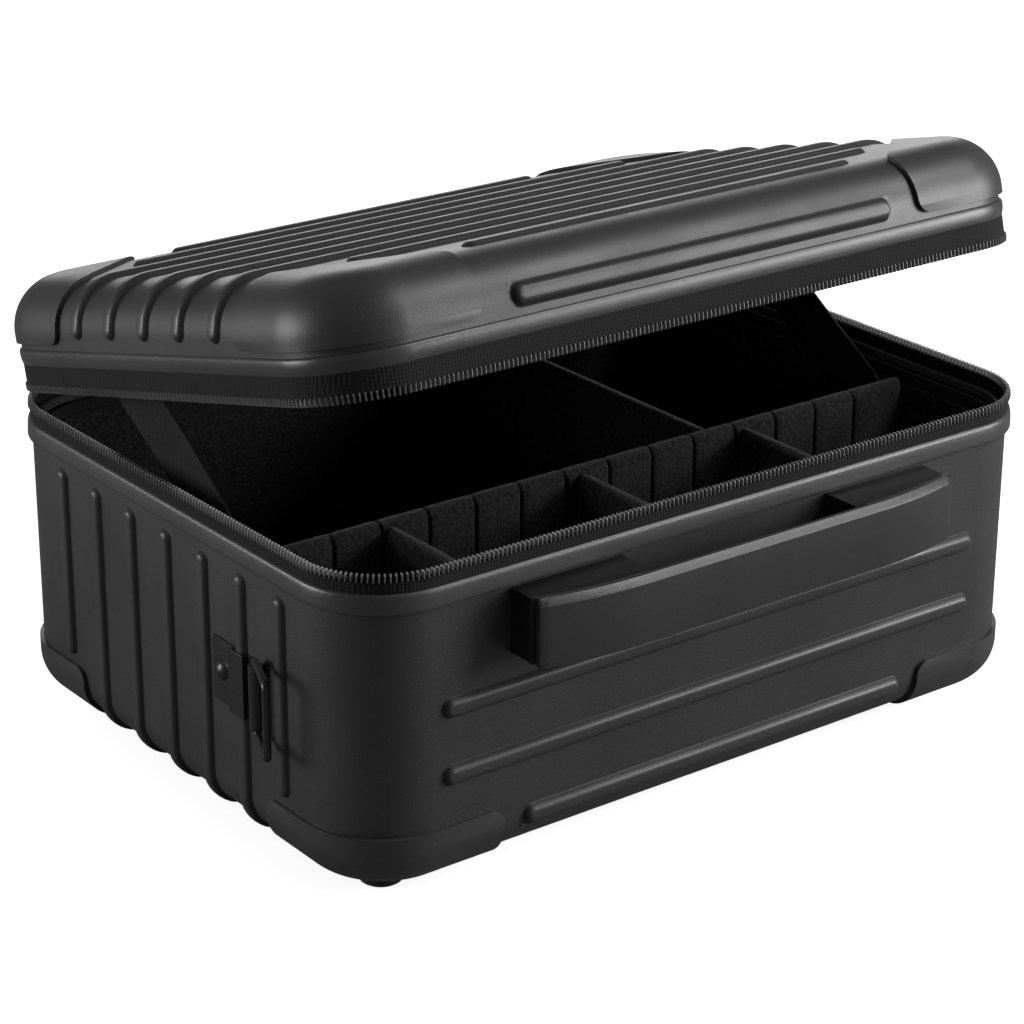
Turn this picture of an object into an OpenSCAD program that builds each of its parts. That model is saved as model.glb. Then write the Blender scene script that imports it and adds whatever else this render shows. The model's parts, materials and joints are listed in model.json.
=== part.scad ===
// Hard-shell makeup train case with a zipped lid, carry handle and strap rings.
// Millimetres, +Z up. X runs along the case, -Y is the front with the carry handle.

/* [Case] */
// Length of the shells, without ribs
case_l = 340; // [280:1:420]
// Depth of the shells, without ribs
case_w = 256; // [210:1:320]
// Height of the body rim above the table
rim_z = 128.7; // [100:0.5:160]
// Height of the lid's top face above the zip line
lid_rise = 41.7; // [34:0.1:60]
// Radius of the upright corners
corner_r = 33.3; // [28:0.1:45]
// Radius of the body's bottom edge
body_edge_r = 16; // [10:1:24]
// Radius of the lid's top edge
lid_edge_r = 20; // [10:1:21]
// Thickness of the moulded shells
wall = 3; // [2:0.1:4]
// How far the lid stands open at rest, in degrees
lid_open = 14.67; // [5:0.01:40]

/* [Rim bands] */
// Height of the band round the body's rim
body_band_h = 8.25; // [6:0.25:12]
// Height of the band round the lid's rim
lid_band_h = 9.6; // [6:0.1:14]
// How far the body's band stands proud of its shell
band_proud = 2; // [1:0.1:3]
// How far the lid's band stands proud of its shell
lid_band_proud = 1.2; // [0.6:0.1:3]
// How far each shell's edge goes into its band
band_grip = 6; // [3:0.5:7]

/* [Zip] */
// From the body's rim up to the zip line
body_zip_h = 7.6; // [6:0.1:10]
// From the zip line up to the lid's band
lid_zip_h = 6.6; // [5:0.1:10]
// Thickness of the zip tape
tape_t = 1; // [0.6:0.1:1.5]
// Width of the chain of teeth, across the tape
chain_w = 2.6; // [2:0.1:4]
// Height of each chain of teeth
chain_h = 2.7; // [2:0.1:4]
// Gap between each chain and the zip line
chain_gap = 1; // [0.8:0.1:1.5]
// How far from the middle of the back the zip ends
zip_end_x = 104; // [80:1:106]
// Length of each zip slider
slider_l = 17; // [12:1:22]
// Length of each zip pull
pull_l = 26; // [18:1:34]

/* [Ribs] */
// Distance between the ribs that wrap round the ends
rib_pitch = 26.25; // [20:0.25:30]
// Width of a rib at its foot
rib_w = 6.6; // [4:0.1:9]
// How far a rib stands proud of the shell
rib_h = 2.2; // [1:0.1:3]
// Width of the long ribs on the front and back
bar_w = 7.5; // [5:0.1:10]
// How far the long ribs stand proud
bar_h = 2.6; // [1:0.1:3]
// Half length of the two upper long ribs on the body
bar_half_l = 133; // [90:1:140]
// Half length of the lowest long rib on the body
bar_short_half_l = 96; // [60:1:100]
// Half length of the long rib on the front of the lid, and on its back
lid_bar_half_l = 91.5; // [60:0.5:100]
// From the body's rim down to its first long rib
bar_drop = 49.5; // [46:0.5:56]
// Distance between the long ribs on the body
bar_pitch = 27.2; // [20:0.1:30]
// From the body's rim down to the tips of its upright ribs
rib_drop = 12.7; // [10:0.1:20]

/* [Corner guards] */
// Thickness of the corner guards
guard_t = 1.8; // [1.5:0.1:3]
// Length of a guard along the front and back
guard_l = 64; // [50:1:70]
// Length of a guard along the ends
guard_w = 60; // [45:1:64]
// Height of the top edge of the body's guards above the shell's floor
guard_h = 22; // [18:1:28]
// Radius of the rounded corners at a guard's ends
guard_round = 6; // [2:0.5:10]
// How far the inner corner of a guard is cut back
guard_cut = 47; // [20:1:50]

/* [Feet] */
// Radius of a foot
foot_r = 9.2; // [7:0.1:12]
// Height of a foot
foot_h = 7.7; // [5:0.1:10]
// Distance of a foot's centre from the faces of the shell
foot_inset = 29; // [24:1:34]
// Radius of the foot screws
foot_screw_r = 2; // [1.5:0.1:2.5]

/* [Lining] */
// Gap between the shells and their linings, for the screw heads
lining_gap = 2.6; // [2.5:0.1:4]
// Thickness of the linings
lining_t = 2; // [1.5:0.1:3]
// Thickness of the foam wall pads
pad_t = 1.9; // [1.5:0.1:4]
// From the rim down to the top of the wall pads
pad_drop = 8; // [5:1:14]
// Thickness of the foam floor pad
floor_pad_t = 4; // [2:0.5:8]
// Thickness of the foam dividers
divider_t = 8; // [5:0.5:10]
// From the rim down to the top of the dividers
divider_drop = 6; // [4:1:12]
// Place of the long divider, in front of the middle
divider_y = -54; // [-70:1:-50]
// Places of the short front dividers along the case
front_divider_x = [-106, -14, 71]; // [-150:1:150]
// Place of the short rear divider along the case
rear_divider_x = 56; // [20:1:90]

/* [Carry handle] */
// Half length of the handle
handle_half_l = 103; // [80:1:104]
// Height of the grip plate
grip_h = 27; // [20:1:32]
// Thickness of the grip plate
grip_t = 4.6; // [3:0.1:7]
// From the shell out to the front of the grip plate
grip_out = 23.5; // [20:0.5:30]
// From the body's rim down to the handle's centre line
handle_drop = 22; // [20:1:26]
// Half length of the straight middle of the grip
grip_flat = 58; // [40:1:66]
// Radius of the curved ends of the grip
grip_bend_r = 184; // [120:1:260]
// Length of an end block
block_l = 52; // [44:1:56]
// How far the handle pulls out
handle_travel = 6; // [4:0.5:7]
// Radius of the guide posts
post_r = 3.95; // [3:0.05:5]

/* [Strap rings] */
// Place of the ring's pin, in front of the middle
ring_y = -66.5; // [-70:0.5:-60]
// From the body's rim down to the middle of the ring
ring_drop = 56.5; // [50:0.5:64]
// Height of the bracket
bracket_h = 26; // [20:1:36]
// Thickness of the bracket's sheet metal
bracket_t = 1.2; // [0.8:0.1:1.6]
// Radius of the ring's wire
ring_wire_r = 1.55; // [1.2:0.05:2]
// Reach of the ring from its pin to its outer bar
ring_reach = 22; // [18:1:32]
// How far the ring stands out from the case at rest, in degrees
ring_out = 23; // [10:1:60]

/* [Lid stays] */
// Width of the ribbon stays
stay_w = 25; // [15:1:30]
// Thickness of the ribbon stays
stay_t = 0.8; // [0.6:0.1:1.5]
// Distance between a stay and the wall pad beside it
stay_gap = 0.5; // [0.4:0.1:1]
// Where a stay is sewn to the lid, in front of the zip line's hinge
stay_lid_y = -83.5; // [-90:0.5:-70]
// How far above the zip line a stay is sewn to the lid
stay_lid_z = 11; // [8:0.5:14]
// How far behind the long divider a stay is sewn to the body
stay_foot_gap = 12; // [12:1:30]
// How far below the zip line a stay is sewn to the body
stay_body_z = -28; // [-40:1:-24]

/* [Hidden] */
$fn = 64;
eps = 0.01;
fit = 0.05;                      // running clearance on radius
clear = 0.3;                     // gap between faces that move past each other
line_z = rim_z + body_zip_h;     // zip line, and the height of the lid's hinge axis
seam_z = lid_zip_h + lid_band_h; // lid band's upper edge, above the zip line
floor_z = foot_h + guard_t;      // underside of the body shell
body_h = rim_z - floor_z;
half_l = case_l / 2;
half_w = case_w / 2;
bar_r = (bar_w * bar_w / 4 + bar_h * bar_h) / (2 * bar_h);
bar_sunk = bar_r - bar_h;
rib_r = (rib_w * rib_w / 4 + rib_h * rib_h) / (2 * rib_h);
rib_sunk = rib_r - rib_h;
// Ribs that wrap round on each side of the middle one, clear of the corner guards.
wraps = max(0, floor((case_w / 2 + guard_t - guard_w - rib_w / 2 - 1) / rib_pitch));
lid_bar_z = seam_z + 7.5;        // long rib on the lid, above the zip line
// The case sits so that the whole part is centred over the origin at rest.
lid_reach = (lid_bar_z * sin(lid_open) - bar_sunk * cos(lid_open)) + bar_r;
case_y = (grip_out - lid_reach) / 2;
hinge_y = case_y + half_w;

// ---- shared shapes ----

// Rounded rectangle, centred.
module plan(l, w, r) {
    square([l - 2 * r, w], center = true);
    square([l, w - 2 * r], center = true);
    for (sx = [-1, 1], sy = [-1, 1])
        translate([sx * (l / 2 - r), sy * (w / 2 - r)]) circle(r);
}

// Upright ring that follows the case's outline, from `out_a` to `out_b` beyond the shells.
module outline_ring(out_a, out_b, h) {
    linear_extrude(h) difference() {
        plan(case_l + 2 * out_b, case_w + 2 * out_b, corner_r + out_b);
        plan(case_l + 2 * out_a, case_w + 2 * out_a, corner_r + out_a);
    }
}

// Cross-section of a tray of height h with rounded bottom edges.
module tray_section(w, h, e) {
    translate([-w / 2, e]) square([w, h - e]);
    translate([-w / 2 + e, 0]) square([w - 2 * e, h]);
    for (s = [-1, 1]) translate([s * (w / 2 - e), e]) intersection() {
        circle(e);
        translate([-e, -e]) square([2 * e, e]);
    }
}

// Half of the same section at an upright corner of radius r.
module corner_section(r, h, e) {
    translate([0, e]) square([r, h - e]);
    square([r - e, h]);
    translate([r - e, e]) intersection() {
        circle(e);
        translate([0, -e]) square([e, e]);
    }
}

// Solid tray with rounded upright corners and a rounded bottom edge, its floor at z = 0.
module tray(l, w, h, r, e) {
    for (sx = [-1, 1], sy = [-1, 1])
        translate([sx * (l / 2 - r), sy * (w / 2 - r), 0]) rotate_extrude() corner_section(r, h, e);
    rotate([90, 0, 0]) linear_extrude(w - 2 * r, center = true) tray_section(l, h, e);
    rotate([90, 0, 90]) linear_extrude(l - 2 * r, center = true) tray_section(w, h, e);
}

// Tray that stands `out` beyond the body's shell.
module body_tray(out, h = body_h) {
    translate([0, case_y, floor_z - out])
        tray(case_l + 2 * out, case_w + 2 * out, h + out, corner_r + out, body_edge_r + out);
}

// The same for the lid, upside down, with the zip line at z = 0 and the lid closed.
module lid_tray(out, from_z) {
    translate([0, 0, lid_rise + out]) mirror([0, 0, 1])
        tray(case_l + 2 * out, case_w + 2 * out, lid_rise + out - from_z, corner_r + out, lid_edge_r + out);
}

// Puts a shape drawn with the lid closed and the zip line at z = 0 where the open lid is.
module on_lid() {
    translate([0, hinge_y, line_z]) rotate([-lid_open, 0, 0]) translate([0, -half_w, 0]) children();
}

// Round-ended bar along X.
module bar(half, r) {
    rotate([0, 90, 0]) cylinder(r = r, h = 2 * (half - r), center = true);
    for (s = [-1, 1]) translate([s * (half - r), 0, 0]) sphere(r);
}

// Round-ended upright bar from z_a to z_b.
module upright(z_a, z_b, r) {
    translate([0, 0, (z_a + z_b) / 2]) rotate([0, 90, 0]) bar((z_b - z_a) / 2, r);
}

// One rib that wraps round both ends and across the flat face of a tray.
module wrap_rib(h, e) {
    rotate([90, 0, 0]) linear_extrude(rib_w - 1, center = true)
        tray_section(case_l + 2 * rib_h, h, e + rib_h);
}

// ---- body ----

module body_shell() {
    color("#2b2b2c") difference() {
        union() {
            body_tray(0, body_h - body_band_h + band_grip);
            for (k = [-wraps:wraps]) translate([0, case_y + k * rib_pitch, floor_z - rib_h])
                wrap_rib(rim_z - rib_drop - floor_z + rib_h, body_edge_r);
            for (sx = [-1, 1], k = [-wraps - 1, wraps + 1])
                translate([sx * (half_l - rib_sunk), case_y + k * rib_pitch, 0])
                    upright(floor_z + guard_h + 4, rim_z - rib_drop, rib_r);
            for (sy = [-1, 1], k = [0:2])
                translate([0, case_y + sy * (half_w - bar_sunk), rim_z - bar_drop - k * bar_pitch])
                    bar(k < 2 ? bar_half_l : bar_short_half_l, bar_r);
        }
        body_tray(-wall);
        foot_places() cylinder(r = foot_screw_r, h = 4 * floor_z, center = true);
        handle_screw_places() cylinder(r = handle_screw_r, h = 4 * wall, center = true);
        rivet_places() cylinder(r = rivet_r, h = 4 * wall, center = true);
    }
}

module body_rim_band() {
    color("#3a3a3b") translate([0, case_y, rim_z - body_band_h]) difference() {
        outline_ring(-wall - 1, band_proud, body_band_h);
        translate([0, 0, -eps]) outline_ring(-wall, 0, band_grip + eps);
    }
}

// Everything inside one corner of the case, as a guard covers it. Where its end edges meet
// the height z_round, on the up side if up is 1 and the down side if -1, the corner is rounded.
module guard_region(sx, sy, z_a, z_b, z_round, up) {
    x_a = half_l - guard_l;
    y_a = half_w - guard_w;
    scale([sx, sy, 1]) difference() {
        translate([0, 0, z_a]) linear_extrude(z_b - z_a) polygon([
            [x_a, half_w + 10], [x_a, y_a + guard_cut], [x_a + guard_cut, y_a],
            [half_l + 10, y_a], [half_l + 10, half_w + 10]]);
        translate([x_a, half_w, z_round]) scale([1, 1, up]) corner_notch();
        translate([half_l, y_a, z_round]) scale([1, 1, up]) rotate([0, 0, 90]) corner_notch();
    }
}

// What is cut away to round the upper corner of a guard's end, along Y.
module corner_notch() {
    rotate([90, 0, 0]) linear_extrude(24, center = true) difference() {
        translate([-1, -guard_round]) square([guard_round + 1, guard_round + 1]);
        translate([guard_round, -guard_round]) circle(guard_round);
    }
}

module body_guard(sx, sy) {
    color("#303031") difference() {
        intersection() {
            body_tray(guard_t);
            translate([0, case_y, 0]) guard_region(sx, sy, 0, floor_z + guard_h, floor_z + guard_h, 1);
        }
        body_tray(0);
        foot_places() cylinder(r = foot_screw_r, h = 4 * floor_z, center = true);
    }
}

module foot_places() {
    for (sx = [-1, 1], sy = [-1, 1]) foot_at(sx, sy) children();
}

module foot_at(sx, sy) {
    translate([sx * (half_l - foot_inset), case_y + sy * (half_w - foot_inset), 0]) children();
}

foot_recess_r = 4.4;
foot_recess_h = 3;
module foot(sx, sy) {
    edge = 2.5;
    color("#1c1c1c") foot_at(sx, sy) rotate_extrude() difference() {
        union() {
            translate([0, edge]) square([foot_r, foot_h - edge]);
            square([foot_r - edge, foot_h]);
            translate([foot_r - edge, edge]) circle(edge);
        }
        translate([-foot_r, -edge]) square([foot_r + foot_screw_r, foot_h + 2 * edge]);
        translate([-foot_r, -edge]) square([foot_r + foot_recess_r, edge + foot_recess_h]);
    }
}

module foot_screws() {
    head_h = 1.8;
    head_r = 3.6;
    color("#8a8a8a") foot_places() {
        translate([0, 0, foot_recess_h - head_h]) cylinder(r = head_r, h = head_h);
        translate([0, 0, foot_recess_h]) cylinder(r = foot_screw_r, h = floor_z + wall + 1.5 - foot_recess_h);
        translate([0, 0, floor_z + wall]) cylinder(r = head_r, h = 1.5);
    }
}

module body_lining() {
    color("#101010") difference() {
        body_tray(-wall - lining_gap, body_h - 3);
        body_tray(-wall - lining_gap - lining_t);
    }
}

pad_out = -wall - lining_gap - lining_t;
module wall_pads() {
    color("#141414") difference() {
        translate([0, case_y, pad_floor_z]) linear_extrude(rim_z - pad_drop - pad_floor_z)
            plan(case_l + 2 * pad_out, case_w + 2 * pad_out, corner_r + pad_out);
        translate([0, case_y, 0]) linear_extrude(rim_z)
            plan(case_l + 2 * pad_out - 2 * pad_t, case_w + 2 * pad_out - 2 * pad_t, corner_r + pad_out - pad_t);
    }
}

pad_floor_z = floor_z - pad_out + max(0, body_edge_r + pad_out);
in_half_l = half_l + pad_out - pad_t;
in_half_w = half_w + pad_out - pad_t;
floor_pad_z = floor_z - pad_out;

module floor_pad() {
    inset = max(0, body_edge_r + pad_out) + 1;
    color("#141414") translate([0, case_y, floor_pad_z]) linear_extrude(floor_pad_t)
        plan(2 * in_half_l - 2 * inset, 2 * in_half_w - 2 * inset, corner_r - 12);
}

divider_z = floor_pad_z + floor_pad_t;
divider_h = rim_z - divider_drop - divider_z;
slot_pitch = 22;
module long_divider() {
    slots = floor((in_half_l - 12) / slot_pitch);
    foot_inset_x = max(0, body_edge_r + pad_out) + 1;
    color("#161616") translate([0, case_y + divider_y, divider_z]) difference() {
        rotate([90, 0, 0]) linear_extrude(divider_t, center = true) polygon([
            [-in_half_l + foot_inset_x, 0], [in_half_l - foot_inset_x, 0],
            [in_half_l - clear, foot_inset_x], [in_half_l - clear, divider_h],
            [-in_half_l + clear, divider_h], [-in_half_l + clear, foot_inset_x]]);
        for (k = [-slots:slots], sy = [-1, 1])
            translate([k * slot_pitch, sy * divider_t / 2, divider_h / 2])
                cube([1, 3, divider_h - 20], center = true);
    }
}

module cross_divider(x, y_a, y_b) {
    color("#161616") translate([x, case_y, divider_z]) difference() {
        translate([-divider_t / 2, y_a, 0]) cube([divider_t, y_b - y_a, divider_h - 2]);
        translate([0, y_a < -in_half_w + 2 ? y_a : y_b, 0]) rotate([45, 0, 0])
            cube([2 * divider_t, 8, 8], center = true);
    }
}

module front_divider(k) {
    cross_divider(front_divider_x[k], -in_half_w + clear, divider_y - divider_t / 2 - clear);
}

module rear_divider() {
    cross_divider(rear_divider_x, divider_y + divider_t / 2 + clear, in_half_w - clear);
}

// Cuts the middle of the back out of a ring that follows the zip.
module zip_path(end_x, keep_y) {
    difference() {
        children();
        translate([-end_x, half_w - 8, -20]) cube([2 * end_x, 20, 60]);
        translate([-case_l, keep_y, -20]) cube([2 * case_l, 60, 60]);
    }
}

module body_zip_tape() {
    color("#0c0c0c") translate([0, case_y, rim_z]) zip_path(zip_end_x, case_w)
        outline_ring(-tape_t / 2, tape_t / 2, body_zip_h - chain_gap - chain_h);
}

module body_zip_chain() {
    color("#4a4a4c") translate([0, case_y, line_z - chain_gap - chain_h]) zip_path(zip_end_x, case_w)
        outline_ring(-chain_w / 2, chain_w / 2, chain_h);
}

module zip_end_stops() {
    stop_l = 2;
    color("#3a3a3a") for (s = [-1, 1])
        translate([s * (zip_end_x - stop_l / 2 - eps), hinge_y, line_z - chain_gap - chain_h / 2])
            cube([stop_l, chain_w, chain_h], center = true);
}

// Sewn fabric along the back that joins the body to the lid.
module hinge_tape() {
    half = zip_end_x - 2.2;
    color("#0c0c0c") {
        translate([-half, hinge_y - tape_t, rim_z]) cube([2 * half, tape_t, body_zip_h]);
        translate([0, hinge_y, line_z]) rotate([-lid_open, 0, 0])
            translate([-half, -tape_t, 0]) cube([2 * half, tape_t, lid_zip_h]);
    }
}

stay_x = in_half_l - stay_gap - stay_t / 2;
stay_lid_point = [hinge_y + stay_lid_y * cos(lid_open) + stay_lid_z * sin(lid_open),
    line_z - stay_lid_y * sin(lid_open) + stay_lid_z * cos(lid_open)];
stay_body_point = [case_y + divider_y + divider_t / 2 + stay_foot_gap, line_z + stay_body_z];
module stay(s) {
    d = stay_lid_point - stay_body_point;
    color("#0a0a0a") translate([s * stay_x, stay_body_point[0], stay_body_point[1]])
        rotate([atan2(d[1], d[0]), 0, 0]) translate([-stay_t / 2, 0, -stay_w / 2]) cube([stay_t, norm(d), stay_w]);
}

// Stitched tabs that hold the stays' lower ends to the wall pads.
module body_stay_tabs() {
    tab_t = 1.5;
    color("#0a0a0a") for (s = [-1, 1])
        translate([s * (stay_x - (stay_t + tab_t) / 2 - 0.1), stay_body_point[0], stay_body_point[1]])
            rotate([atan2(stay_lid_point[1] - stay_body_point[1], stay_lid_point[0] - stay_body_point[0]), 0, 0])
                cube([tab_t, 7, stay_w + 1], center = true);
}

// ---- strap rings ----

ring_z = rim_z - ring_drop;
ring_pin_x = half_l + rib_h + bracket_t;
barrel_r = ring_wire_r + fit + 1.2;
rivet_r = 1.8;
rivet_y = ring_y + 27.2;
ring_bend = ring_wire_r + 0.45;
ring_tall = bracket_h + 2 * ring_bend; // between wire centres
module rivet_places() {
    for (s = [-1, 1]) translate([s * half_l, case_y + rivet_y, ring_z]) rotate([0, s * 90, 0]) children();
}

module ring_bracket(s) {
    rib_y = -2 * rib_pitch;
    t = bracket_t;
    color("#1a1a1a") translate([0, case_y, ring_z - bracket_h / 2]) difference() {
        linear_extrude(bracket_h) scale([s, 1]) difference() {
            union() {
                translate([half_l, rivet_y - 6]) square([t, 12]);
                translate([half_l, rib_y + 5]) square([t, rivet_y - rib_y - 10]);
                translate([half_l, rib_y + 4]) square([rib_h + t, t]);
                translate([half_l + rib_h + 0.1, rib_y - 5]) square([t, 10]);
                translate([half_l, rib_y - 5]) square([rib_h + t, t]);
                translate([half_l, ring_y + 1]) square([t, rib_y - 4 - ring_y - 1]);
                translate([ring_pin_x, ring_y]) circle(barrel_r);
                translate([half_l, ring_y - 1]) square([ring_pin_x - half_l, 3]);
            }
            translate([ring_pin_x, ring_y]) circle(ring_wire_r + fit);
            translate([0, ring_y - 20]) square([half_l, 80]);
        }
        translate([s * half_l, rivet_y, bracket_h / 2]) rotate([0, 90, 0])
            cylinder(r = rivet_r, h = 4 * t, center = true);
    }
}

module ring_rivets() {
    head_r = 4;
    head_h = 2;
    ball = (head_r * head_r + head_h * head_h) / (2 * head_h);
    color("#262626") rivet_places() {
        translate([0, 0, -wall - 1.5]) cylinder(r = rivet_r, h = wall + bracket_t + 1.5);
        translate([0, 0, -wall - 1.5]) cylinder(r = 3.2, h = 1.5);
        translate([0, 0, bracket_t]) intersection() {
            cylinder(r = head_r, h = head_h);
            translate([0, 0, head_h - ball]) sphere(ball);
        }
    }
}

// Wire loop with rounded corners, its pin on the Z axis and its reach along -Y.
module wire_loop(tall, reach, bend, r) {
    rotate([0, 90, 0]) for (sz = [-1, 1]) {
        translate([sz * tall / 2, -reach / 2, 0]) rotate([90, 0, 0])
            cylinder(r = r, h = reach - 2 * bend, center = true);
        translate([sz * (tall / 2 - bend), -bend, 0]) rotate([0, 0, sz > 0 ? 0 : 90])
            rotate_extrude(angle = 90) translate([bend, 0]) circle(r);
        translate([sz * (tall / 2 - bend), -reach + bend, 0]) rotate([0, 0, sz > 0 ? 270 : 180])
            rotate_extrude(angle = 90) translate([bend, 0]) circle(r);
    }
    for (y = [0, -reach]) translate([0, y, 0]) cylinder(r = r, h = tall - 2 * bend, center = true);
}

module strap_ring(s) {
    color("#202020") translate([s * ring_pin_x, case_y + ring_y, ring_z]) rotate([0, 0, s * ring_out])
        wire_loop(ring_tall, ring_reach, ring_bend, ring_wire_r);
}

// ---- carry handle ----

handle_z = rim_z - handle_drop;
handle_screw_r = 2;
grip_face = half_w + grip_out;
bend_y = grip_face - grip_bend_r;
post_x = 78;
shim_t = 1;
block_h = grip_h - 1.5;
module handle_plan(s) {
    translate([0, case_y, 0]) mirror([0, 1, 0]) scale([s, 1]) children();
}

// Plan of everything behind a face that lies `back` behind the grip's front, on the +X side.
module behind_face(back) {
    square([grip_flat + eps, grip_face - back]);
    translate([grip_flat, bend_y]) circle(grip_bend_r - back, $fn = 360);
}

// Plan of one half of a layer that follows the grip, `back_a` to `back_b` behind its front.
module grip_layer(back_a, back_b, x_a) {
    intersection() {
        difference() {
            behind_face(back_a);
            behind_face(back_b);
        }
        translate([x_a, half_w]) square([handle_half_l - x_a, grip_out + 1]);
    }
}

module handle_grip() {
    color("#38383a") difference() {
        translate([0, 0, handle_z - grip_h / 2]) linear_extrude(grip_h)
            for (s = [-1, 1]) handle_plan(s) grip_layer(0, grip_t, 0);
        for (s = [-1, 1]) translate([s * post_x, 0, 0]) post_hole(post_r);
    }
}

// Bore for a guide post, from behind the grip's front skin inwards.
module post_hole(r) {
    translate([0, case_y - grip_face + 2.6, handle_z]) rotate([-90, 0, 0]) cylinder(r = r, h = grip_out);
}

head_t = 2;
post_head_r = 6.6;
cavity_r = 7.2;
cavity_d = handle_travel + head_t + 3.2;
module handle_posts() {
    color("#9a9a9c") for (s = [-1, 1]) translate([s * post_x, 0, 0]) {
        translate([0, case_y - grip_face + 2.6, handle_z]) rotate([-90, 0, 0])
            cylinder(r = post_r, h = grip_out - 2.6 - 0.5);
        translate([0, case_y - half_w - 0.5, handle_z]) rotate([90, 0, 0]) cylinder(r = post_head_r, h = head_t);
    }
}

module handle_springs() {
    wire = 1.2;
    color("#b0b0b0") for (s = [-1, 1])
        translate([s * post_x, case_y - half_w - 0.5 - head_t - 0.1, handle_z]) rotate([90, 0, 0])
            difference() {
                cylinder(r = post_r + 0.3 + wire, h = cavity_d - head_t - 0.7);
                translate([0, 0, -1]) cylinder(r = post_r + 0.3, h = cavity_d + 2);
            }
}

module handle_block(s) {
    color("#0e0e0e") difference() {
        translate([0, 0, handle_z - block_h / 2]) linear_extrude(block_h) handle_plan(s) intersection() {
            behind_face(grip_t + shim_t + 2 * clear);
            translate([handle_half_l - block_l, half_w]) square([block_l - 0.5, grip_out]);
        }
        translate([s * post_x, case_y - half_w + 1, handle_z]) rotate([90, 0, 0]) {
            cylinder(r = post_r + fit, h = grip_out);
            cylinder(r = cavity_r, h = cavity_d + 1);
        }
        handle_screw_places() cylinder(r = handle_screw_r, h = 18, center = true);
    }
}

module handle_shim(s) {
    color("#1f1f20") difference() {
        translate([0, 0, handle_z - block_h / 2 - 0.4]) linear_extrude(block_h + 0.8)
            handle_plan(s) grip_layer(grip_t + clear, grip_t + clear + shim_t, handle_half_l - block_l + 4);
        translate([s * post_x, case_y - half_w, handle_z]) rotate([90, 0, 0])
            cylinder(r = post_r + fit, h = grip_out);
    }
}

module handle_screw_places() {
    for (s = [-1, 1], dx = [-14, 14])
        translate([s * post_x + dx, case_y - half_w, handle_z]) rotate([90, 0, 0]) children();
}

module handle_screws() {
    color("#8a8a8a") handle_screw_places() {
        translate([0, 0, -wall]) cylinder(r = handle_screw_r, h = wall + 8.5);
        translate([0, 0, -wall - 2.2]) cylinder(r = 3.8, h = 2.2);
    }
}

// ---- lid ----

module lid_ribs() {
    wrap_h = max(lid_rise + rib_h - seam_z - 5, lid_edge_r + rib_h + 0.5);
    for (k = [-wraps:wraps]) translate([0, k * rib_pitch, lid_rise + rib_h]) mirror([0, 0, 1]) wrap_rib(wrap_h, lid_edge_r);
    for (sy = [-1, 1], out = [0, 1])
        translate([0, sy * (wraps + 1 + out) * rib_pitch, lid_rise - rib_sunk - 0.6 * out])
            bar(half_l - 44 - 33 * out, rib_r);
    for (sy = [-1, 1]) translate([0, sy * (half_w - bar_sunk), lid_bar_z]) bar(lid_bar_half_l, bar_r);
}

module lid_shell() {
    color("#2b2b2c") on_lid() difference() {
        union() {
            lid_tray(0, seam_z - band_grip);
            lid_ribs();
        }
        lid_tray(-wall, -10);
    }
}

module lid_rim_band() {
    color("#333334") on_lid() translate([0, 0, lid_zip_h]) difference() {
        outline_ring(-wall - 1, lid_band_proud, lid_band_h);
        translate([0, 0, lid_band_h - band_grip]) outline_ring(-wall, 0, band_grip + eps);
    }
}

module lid_guard(sx, sy) {
    color("#303031") on_lid() difference() {
        intersection() {
            lid_tray(guard_t, seam_z);
            guard_region(sx, sy, seam_z + 2.4, lid_rise + 10, seam_z + 2.4, -1);
        }
        lid_tray(0, -10);
    }
}

lid_zip_end_y = half_w - 14;
module lid_zip_tape() {
    color("#0c0c0c") on_lid() translate([0, 0, chain_gap + chain_h]) zip_path(zip_end_x, lid_zip_end_y)
        outline_ring(-tape_t / 2, tape_t / 2, lid_zip_h - chain_gap - chain_h);
}

module lid_zip_chain() {
    color("#4a4a4c") on_lid() translate([0, 0, chain_gap]) zip_path(zip_end_x, lid_zip_end_y)
        outline_ring(-chain_w / 2, chain_w / 2, chain_h);
}

module lid_lining() {
    color("#101010") on_lid() difference() {
        lid_tray(-wall - 1.2, lid_zip_h + 2);
        lid_tray(-wall - 1.2 - lining_t, -10);
    }
}

// Stitched tabs that hold the stays' upper ends to the lid's lining.
module lid_stay_tabs() {
    tab_t = 1.5;
    lid_in = half_l - wall - 1.2 - lining_t;
    color("#0a0a0a") on_lid() for (s = [-1, 1])
        translate([s * (stay_x + stay_t / 2 + 0.1 + (lid_in - stay_x - stay_t / 2 - 0.1) / 2),
            half_w + stay_lid_y, stay_lid_z + 1])
            cube([lid_in - stay_x - stay_t / 2 - 0.1, stay_w - 3, 4], center = true);
}

// ---- zip sliders and pulls ----

slider_x = zip_end_x + 0.5 + slider_l / 2;
plate_t = 1.8;
plate_gap = chain_w / 2 + clear;
pin_y = plate_gap + plate_t + 1.5;
pin_z = -3.5;
pin_r = 0.9;
module at_slider(s) {
    translate([s * slider_x, hinge_y, line_z]) children();
}

module zip_slider(s) {
    low = 4.8;
    high = 4.6;
    color("#9a9a9c") at_slider(s) difference() {
        union() {
            for (y = [-plate_gap - plate_t, plate_gap])
                translate([-slider_l / 2, y, -low]) cube([slider_l, plate_t, low + high]);
            translate([-slider_l / 2, -plate_gap - eps, -0.6]) cube([slider_l, 2 * plate_gap + 2 * eps, 1.2]);
            translate([-1.5, plate_gap, pin_z - 1.6]) cube([3, plate_t + 2.6, 3.2]);
        }
        translate([0, pin_y, pin_z]) rotate([0, 90, 0]) cylinder(r = pin_r + fit, h = slider_l, center = true);
    }
}

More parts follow.
